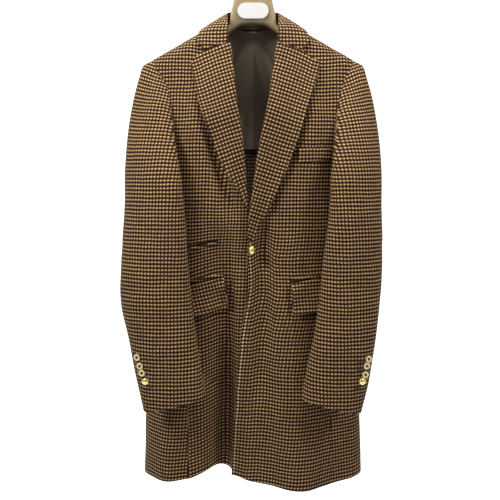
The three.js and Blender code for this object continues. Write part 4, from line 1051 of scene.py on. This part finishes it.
sleeveLook = {
    # ends (round, height), width, depth: elbow and forearm creases, softer drag lines below the cap
    "upper": [(30, -590, 120, -640, 14, 1.8), (120, -650, 40, -700, 13, 2.2), (50, -716, 130, -742, 11, 1.6),
              (100, -520, 150, -600, 14, -1.4), (20, -470, 60, -560, 16, 1.2), (60, -800, 130, -786, 12, -1.1),
              (84, -300, 84, -420, 30, -1.0)],
    "under": [(20, -620, 90, -660, 14, 2.2), (30, -690, 110, -700, 12, 1.8), (60, -560, 120, -600, 16, -1.4)],
}
sleeveParts = {  # where each part starts and ends round the sleeve, and its size
    "upper": (sleeve["backSeam"], sleeve["frontSeam"], (175, 720)),
    "under": (sleeve["frontSeam"], 360 + sleeve["backSeam"], (145, 560)),
}
for side in (1, -1):
    for part, (start, stop, size) in sleeveParts.items():
        clothPiece(f"{part}_sleeve_{word(side)}", sleevePart(side, start, stop), size, side > 0, {
            "creases": sleeveLook[part], "creasePlane": sleevePlane, "levelAt": 0.55, "grainAt": 0.5,
            "materials": shell, "wave": 0.4, "rolled": (1, 1, 0, 1)})
print("sleeves made")

doubled = [jerseyFace, jerseyFace]
for side in (1, -1):
    clothPiece(f"lapel_{word(side)}", lapelSurface(side), (120, 400), side < 0, {
        "levelAt": 0.35, "grainAt": 0.5, "pattern": turnedGrain(side * lapel["turn"]), "materials": doubled,
        "wave": 0.25, "rolled": (0, 1, 1, 1)})
clothPiece("collar_fall", collarFall, (420, 55), True, {
    "level": False, "materials": doubled, "wave": 0.25, "rolled": (1, 1, 0, 1)})
clothPiece("collar_stand", collarStand, (230, 30), False, {
    "level": False, "materials": [shadedStandCloth, shadedStandCloth], "wave": 0})
clothPiece("back_lining", liningSurface, (300, 240), False, {
    "levelAt": 0.9, "materials": [twill, twill], "slot": "lining", "thick": 0.0008, "wave": 0.3,
    "creases": [(0, -220, 0, -390, 1.6, 2.4), (-4, -235, -27, -392, 6, -4.5), (4, -235, 24, -392, 6, -4.0),
                (-14, -205, -48, -385, 8, 2.4), (14, -205, 46, -385, 8, 2.4), (-52, -200, -90, -400, 12, -2.5),
                (52, -200, 92, -390, 12, -2.5)]})
print("lapels, collar and lining made")

# Corners: inner top, outer top, inner bottom, outer bottom
pockets = {
    "flap_left": {"corners": ((78, -667), (160, -657), (84, -731), (165, -724)), "lift": 3.1, "thick": 0.002,
                  "size": (84, 62), "flare": 9},
    "flap_right": {"corners": ((-59, -660.5), (-134, -671), (-52, -719), (-133, -738)), "lift": 3.1,
                   "thick": 0.002, "size": (80, 62), "flare": 12, "pattern": turnedGrain(-13)},
    "jet_left": {"corners": ((76, -657), (160, -647), (76, -664), (160, -654)), "size": (84, 7.2)},
    "jet_right": {"corners": ((-61, -651), (-136, -662), (-61, -658), (-136, -669)), "size": (76, 7.2)},
    "ticket_jet": {"corners": ((-72, -584), (-138, -599), (-72, -591), (-138, -606)), "size": (68, 7.2)},
    "breast_welt": {"corners": ((90, -400), (158, -397), (90, -426), (158, -421)), "lift": 4.2, "thick": 0.002,
                    "size": (69, 26)},
}
# Painted shade: near-black strips lie in the slits under the jets and welts, where they fall into shadow
slitShades = {  # the dark slits under the jets and welts
    "ticket_mouth_shade": ((-70, -579), (-138, -594.5), (-70, -590), (-138, -605.5)),
    "mouth_shade_left": ((75, -658), (160, -648), (75, -669), (160, -659)),
    "mouth_shade_right": ((-59, -652.5), (-136, -663), (-59, -664), (-136, -674.5)),
    "breast_mouth_shade": ((91, -397), (157, -394), (91, -408), (157, -405)),
}
jetLook = {"lift": 2.6, "thick": 0.0016, "flare": 0, "materials": doubled, "wave": 0.15}
slitShadeLook = {"lift": 1.1, "thick": 0.0008, "flare": 0, "materials": [slitShadeCloth, slitShadeCloth], "node": None,
             "strip": True, "wave": 0, "rolled": (0, 0, 0, 0)}
patches = {name: {**slitShadeLook, "corners": corners, "size": (abs(corners[1][0] - corners[0][0]), 11)}
           for name, corners in slitShades.items()}
patches.update({name: {**jetLook, **pocket} for name, pocket in pockets.items()})
for name, patch in patches.items():
    side = sideOf(patch["corners"][0][0])
    clothPiece(name, laidOnFront(side, *patch["corners"], patch["lift"], patch["flare"]), patch["size"], side < 0,
               {**patch, "level": False, "restsOn": [f"front_{word(side)}"]})
print("pockets made")


# ---- Hanger

hanger = {
    "stations": columns(
        "z top bottom breadth y",
        (0, -62, -148, 34, 2), (-22, -63, -150, 34, 2), (-32, -70, -154, 32, 2), (-37, -86, -157, 30, 2),
        (-40, -108, -159, 30, 2), (-45, -128, -162, 30, 3), (-48, -149, -165, 28, 3), (-60, -152, -170, 28, 4),
        (-90, -158.4, -186, 32, 5), (-130, -180.4, -208, 33, 5), (-165, -199.8, -227, 30, 5),
        (-182, -209.4, -234, 24, 5), (-188, -215, -231, 14, 5)),
    "squareness": 3.0,
    # half widths where the grid is even between: the neck, its foot and the arm, with their numbers of steps
    "spans": ((0, 22, 12), (22, 50, 42), (50, 188, 60)), "around": 49,
}


def closeSeam(piece):
    # Joins the two sides of a rolled-up grid and caps its ends
    bm = bmesh.new()
    bm.from_mesh(piece.data)
    bmesh.ops.remove_doubles(bm, verts=bm.verts, dist=0.00002)
    bmesh.ops.holes_fill(bm, edges=[e for e in bm.edges if e.is_boundary], sides=0)
    bmesh.ops.recalc_face_normals(bm, faces=bm.faces)
    bm.to_mesh(piece.data)
    bm.free()
    shadeSmooth(piece.data)


def loftedHanger():
    half = np.unique(np.concatenate([np.linspace(*span) for span in hanger["spans"]]))
    reach = np.concatenate([-half[::-1], half[1:]])
    x, angle = np.meshgrid(reach, np.linspace(0, 2 * np.pi, hanger["around"]))
    rows = {name: valueAt(hanger["stations"], name, -np.abs(x)) for name in ("top", "bottom", "breadth", "y")}
    cos, sin = np.cos(angle), np.sin(angle)
    y = rows["y"] + rows["breadth"] / 2 * squared(cos, hanger["squareness"])
    tall = (rows["top"] - rows["bottom"]) / 2
    z = (rows["top"] + rows["bottom"]) / 2 + tall * squared(sin, hanger["squareness"])
    piece = mappedGrid("hangerBody", stack(x, y, z), False)
    closeSeam(piece)
    return piece


standFor(loftedHanger(), "hanger_body", "hanger_plastic", khakiPlastic)

hook = {"wire": 4.2, "bend": 22, "foot": -61.6, "arc": (-56, 184), "steps": 150, "rounding": 6, "tip": 1.6,
        "shank": ((0, 2, 0), (0, 1.6, 5), (2.5, 1, 10.5))}  # x, y and rise above the foot


def sweptHook():
    radius = hook["bend"] + hook["wire"] / 2
    angle = np.radians(np.linspace(*hook["arc"], 40))
    arc = stack(radius * np.cos(angle), 0, -hook["bend"] + radius * np.sin(angle))
    shank = np.array([(x, y, hook["foot"] + rise) for x, y, rise in hook["shank"]])
    knots = np.concatenate([shank, arc[2:]])
    run, count = runAlong(knots), hook["steps"]
    path = pointsAt(np.linspace(0, run[-1], count), run, knots)
    for _ in range(hook["rounding"]):  # rounds the joint between shank and bend
        path[1:-1] = (path[:-2] + 2 * path[1:-1] + path[2:]) / 4
    along = unit(np.gradient(path, axis=0))
    sideways = unit(np.cross(along, [0, 1.0, 0]))
    other = np.cross(along, sideways)
    turn = np.linspace(0, 2 * np.pi, 25)[:, None, None]
    ends = np.minimum(np.arange(count), np.arange(count)[::-1]) * run[-1] / (count - 1)
    wire = hook["wire"] / 2 * np.sqrt(1 - np.clip(1 - ends / hook["tip"], 0, 1) ** 2 * 0.9)
    tube = path + wire[:, None] * (np.cos(turn) * sideways + np.sin(turn) * other)
    piece = mappedGrid("hangerHook", tube, False)
    closeSeam(piece)
    return piece


standFor(sweptHook(), "hanger_hook", "hook_steel", platedWire)

plate = {"width": 0.062, "height": 0.0308, "thick": 0.0016, "bevel": 0.0005}  # metres


def bevelledPlate():
    # A rounded bar's outline, extruded and bevelled, standing on the front of the neck
    low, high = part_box("hanger_plate")
    bm = bmesh.new()
    half = (plate["width"] - plate["height"]) / 2
    bmesh.ops.create_circle(bm, cap_ends=True, segments=64, radius=plate["height"] / 2)
    for v in bm.verts:
        v.co.x += half if v.co.x > 0 else -half
    made = bmesh.ops.extrude_face_region(bm, geom=bm.faces[:])
    for v in made["geom"]:
        if isinstance(v, bmesh.types.BMVert):
            v.co.z += plate["thick"]
    rim = [e for e in bm.edges if min(v.co.z for v in e.verts) > plate["thick"] / 2]
    bmesh.ops.bevel(bm, geom=rim, offset=plate["bevel"], offset_type="OFFSET", segments=3, profile=0.5,
                    affect="EDGES", material=-1)
    bmesh.ops.recalc_face_normals(bm, faces=bm.faces)
    turn = Matrix.Translation(((low.x + high.x) / 2, high.y, (low.z + high.z) / 2)) @ Matrix.Rotation(
        np.pi / 2, 4, "X")
    bm.transform(turn)
    piece = newObject("hangerPlate", bm)
    shadeSmooth(piece.data, False)
    return piece


standFor(bevelledPlate(), "hanger_plate", "plate", whitePlate)
print("hanger made")


# ---- Buttons

buttons = {
    "dome": [(0, 0), (0.82, 0), (0.97, 0.1), (1.0, 0.2), (0.97, 0.34), (0.9, 0.44), (0.82, 0.52), (0.62, 0.72),
             (0.36, 0.86), (0, 0.92)],
    "ring": [(0.32, -0.12), (0.36, -0.3), (0.46, -0.42), (0.62, -0.48), (0.8, -0.42), (0.95, -0.22), (1.0, 0),
             (0.96, 0.2), (0.84, 0.34), (0.66, 0.38), (0.5, 0.32), (0.38, 0.16), (0.32, -0.12)],
    "lean": (-0.72, -0.68, 0.08), "cuffTurn": (0, -0.5, 0),
}
buttonSizes = {  # profile, radius, height, how far it sinks, slot and metal, in metres
    "front": ("dome", 0.01, 0.0085, 0.0038, "gold_button", goldMetal),
    "cuffDome": ("dome", 0.0072, 0.0062, 0.003, "gold_button", goldMetal),
    "cuffRing": ("ring", 0.0072, 0.0042, 0, "ring_button", ringMetal),
}


def turnedButton(name, kind, node, axis):
    # The profile is spun round the button's own upright axis, then turned to face along its axis
    profile, radius, height, sink, slot, metal = buttonSizes[kind]
    bm = bmesh.new()
    verts = [bm.verts.new((x * radius, 0, z * height)) for x, z in buttons[profile]]
    edges = [bm.edges.new(pair) for pair in zip(verts, verts[1:])]
    bmesh.ops.spin(bm, geom=verts + edges, cent=(0, 0, 0), axis=(0, 0, 1), angle=2 * np.pi, steps=48,
                   use_merge=True)
    bmesh.ops.remove_doubles(bm, verts=bm.verts, dist=1e-6)
    bmesh.ops.recalc_face_normals(bm, faces=bm.faces)
    turn = Vector((0, 0, 1)).rotation_difference(axis).to_matrix().to_4x4()
    bm.transform(Matrix.Translation(nodeCentre(node) - axis * sink) @ turn)
    standFor(newObject(name, bm), node, slot, metal)


def nodeCentre(name):
    low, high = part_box(name)
    return (low + high) / 2


turnedButton("frontButton", "front", "front_button", Vector(buttons["lean"]).normalized())
for side in (1, -1):
    turn, along = np.meshgrid(np.linspace(0.02, 0.24, 60), np.linspace(0.7, 1, 120))
    points = sleeveSurface(side)(turn, along)
    normals = outwardNormals(points, side > 0)
    for i in range(1, 5):
        node = f"sleeve_button_{word(side)}_{i}"
        centre = np.array(nodeCentre(node)) * 1000
        nearest = np.unravel_index(np.linalg.norm(points - centre, axis=-1).argmin(), turn.shape)
        axis = (Vector(normals[nearest]) + Vector(buttons["cuffTurn"])).normalized()
        if i == 4:
            turnedButton(f"cuffDome{word(side).title()}", "cuffDome", node, axis)
        else:
            turnedButton(f"cuffRing{word(side).title()}{i}", "cuffRing", node, axis)
print("buttons made")


# ---- Buttonholes: two sewn lips and a bar at each end, lying on the cloth

holes = {
    "lip": 0.75, "apart": 1.5, "lift": 0.35, "steps": 22, "spots": 6, "knob": 0.18, "bar": 1.2, "barSteps": 6,
    # z, and x from and to: each cuff hole starts under its button and runs towards the front of the sleeve
    "cuff": {1: [(-815, 219, 205), (-830, 217, 205), (-846, 212, 202), (-864, 208, 198)],
             -1: [(-815, 216, 202), (-830, 214, 203), (-846, 211, 199), (-864, 207, 196)]},
    "front": (-724, -10, 3),
}


def threadTube(path, radius, outward):
    # A closed round thread along a path; outward is the way the cloth faces there
    along = unit(np.gradient(path, axis=0))
    sideways = unit(np.cross(along, outward))
    turn = np.linspace(0, 2 * np.pi, 9)[:, None, None]
    end = np.arange(len(path))
    end = np.minimum(end, end[::-1]) / 2
    width = radius * np.sqrt(1 - np.clip(1 - end, 0, 1) ** 2 * 0.95)[:, None]
    return path + width * (np.cos(turn) * sideways + np.sin(turn) * outward)


def sewnHole(bm, path, outward):
    # Whipped stitches make the lips knobbly
    along = unit(np.gradient(path, axis=0))
    across = unit(np.cross(outward, along))
    knobs = 1 + holes["knob"] * np.cos(np.arange(len(path)) * np.pi)[:, None]
    for way in (1, -1):
        lip = path + outward * holes["lift"] + way * across * holes["apart"] / 2 * knobs
        addGrid(bm, threadTube(lip, holes["lip"], outward), way > 0)
    for end in (0, -1):
        bar = np.linspace(-holes["bar"], holes["bar"], holes["barSteps"])[:, None] * across[end]
        bar = path[end] + outward[end] * holes["lift"] + bar
        addGrid(bm, threadTube(bar, holes["lip"] * 0.9, np.tile(outward[end], (len(bar), 1))))


def onSleeve(side, x, z):
    # The sleeve's front point at a place seen from the front, and the way it faces
    surface = sleeveSurface(side)
    turn, along = np.meshgrid(np.linspace(0.02, 0.42, 200), np.linspace(0.75, 1, 160))
    points = surface(turn, along)
    normals = outwardNormals(points, side > 0)
    miss = np.hypot(np.abs(points[..., 0]) - x, points[..., 2] - z)
    spot = np.unravel_index(miss.argmin(), miss.shape)
    return points[spot], normals[spot]


bm = bmesh.new()
for side in (1, -1):
    for z, start, stop in holes["cuff"][side]:
        points, normals = zip(*(onSleeve(side, x, z) for x in np.linspace(start, stop, holes["spots"])))
        along, share = np.arange(holes["spots"]), np.linspace(0, holes["spots"] - 1, holes["steps"])
        path, outward = pointsAt(share, along, np.array(points)), pointsAt(share, along, np.array(normals))
        sewnHole(bm, path, unit(outward))
z, start, stop = holes["front"]
x = np.linspace(start, stop, holes["steps"])
sewnHole(bm, stack(x, frontY(1, x, z), z), np.tile([0, -1.0, 0], (len(x), 1)))
bmesh.ops.remove_doubles(bm, verts=bm.verts, dist=1e-6)
bmesh.ops.recalc_face_normals(bm, faces=bm.faces)
buttonholes = finishPiece(newObject("buttonholes", bm), darkThread)
print("buttonholes made")


# ---- Studio, lights and camera

studio = {"front": -3.5, "depth": 3.2, "height": 4.2, "bend": 1.2, "floor": -1.36, "half": 6}


def makeStage():
    # A pale floor that curves up into a backdrop
    depth, bend = studio["depth"], studio["bend"]
    run = [(studio["front"], 0), (depth - bend, 0)]
    run += [(depth - bend + bend * np.sin(a), bend * (1 - np.cos(a))) for a in np.linspace(0, np.pi / 2, 13)[1:]]
    run += [(depth, studio["height"])]
    bm = bmesh.new()
    verts = [bm.verts.new((-studio["half"], y, studio["floor"] + z)) for y, z in run]
    edges = [bm.edges.new(pair) for pair in zip(verts, verts[1:])]
    made = bmesh.ops.extrude_edge_only(bm, edges=edges)
    bmesh.ops.translate(bm, vec=(2 * studio["half"], 0, 0),
                        verts=[g for g in made["geom"] if isinstance(g, bmesh.types.BMVert)])
    bmesh.ops.recalc_face_normals(bm, faces=bm.faces)
    stagePiece = newObject("studioFloor", bm)
    material, tree, shader = newMaterial("studioPaper", Roughness=0.9, Emission_Strength=1.0)
    tint = blendColour(tree, noise(tree, objectPlace(tree), 3.0), rgb(0.9, 0.9, 0.9), rgb(0.93, 0.93, 0.93))
    tree.links.new(tint, shader.inputs["Base Color"])
    shader.inputs["Emission Color"].default_value = (1, 1, 1, 1)
    stagePiece.data.materials.append(material)
    stagePiece.visible_diffuse = False  # its own glow stays off the coat


def areaLight(name, place, target, size, power):
    light = bpy.data.lights.new(name, "AREA")
    light.shape, light.size, light.energy = "SQUARE", size, power
    lamp = bpy.data.objects.new(name, light)
    lamp.location = place
    lamp.rotation_euler = (Vector(target) - Vector(place)).to_track_quat("-Z", "Y").to_euler()
    bpy.context.scene.collection.objects.link(lamp)


makeStage()
world = bpy.data.worlds.new("studio")
bpy.context.scene.world = world
world.use_nodes = True
background = world.node_tree.nodes["Background"]
background.inputs["Color"].default_value = (1, 1, 1, 1)
background.inputs["Strength"].default_value = 0.24
areaLight("keyLeft", (-1.25, -1.05, 0.5), (0, 0, -0.45), 0.6, 20)
areaLight("keyRight", (1.35, -0.95, 0.45), (0, 0, -0.45), 0.6, 12)
areaLight("top", (0, -0.28, 0.8), (0, 0, -0.2), 0.4, 11)

# Tilted down to bring the whole coat in, as the photo has it
camera = {"place": (-0.006, -1.4, -0.445), "drop": np.arctan(78 / 670), "lens": 48.24}
lens = bpy.data.cameras.new("camera")
lens.lens, lens.sensor_width = camera["lens"], 36
view = bpy.data.objects.new("camera", lens)
view.location = camera["place"]
view.rotation_euler = (np.pi / 2 - camera["drop"], 0, 0)
bpy.context.scene.collection.objects.link(view)
bpy.context.scene.camera = view
bpy.context.scene.view_settings.view_transform = "Standard"
print("studio set")

for name, width, length, area in cuts:
    print(f"{name}: cut {width} x {length} m, {area} m2")
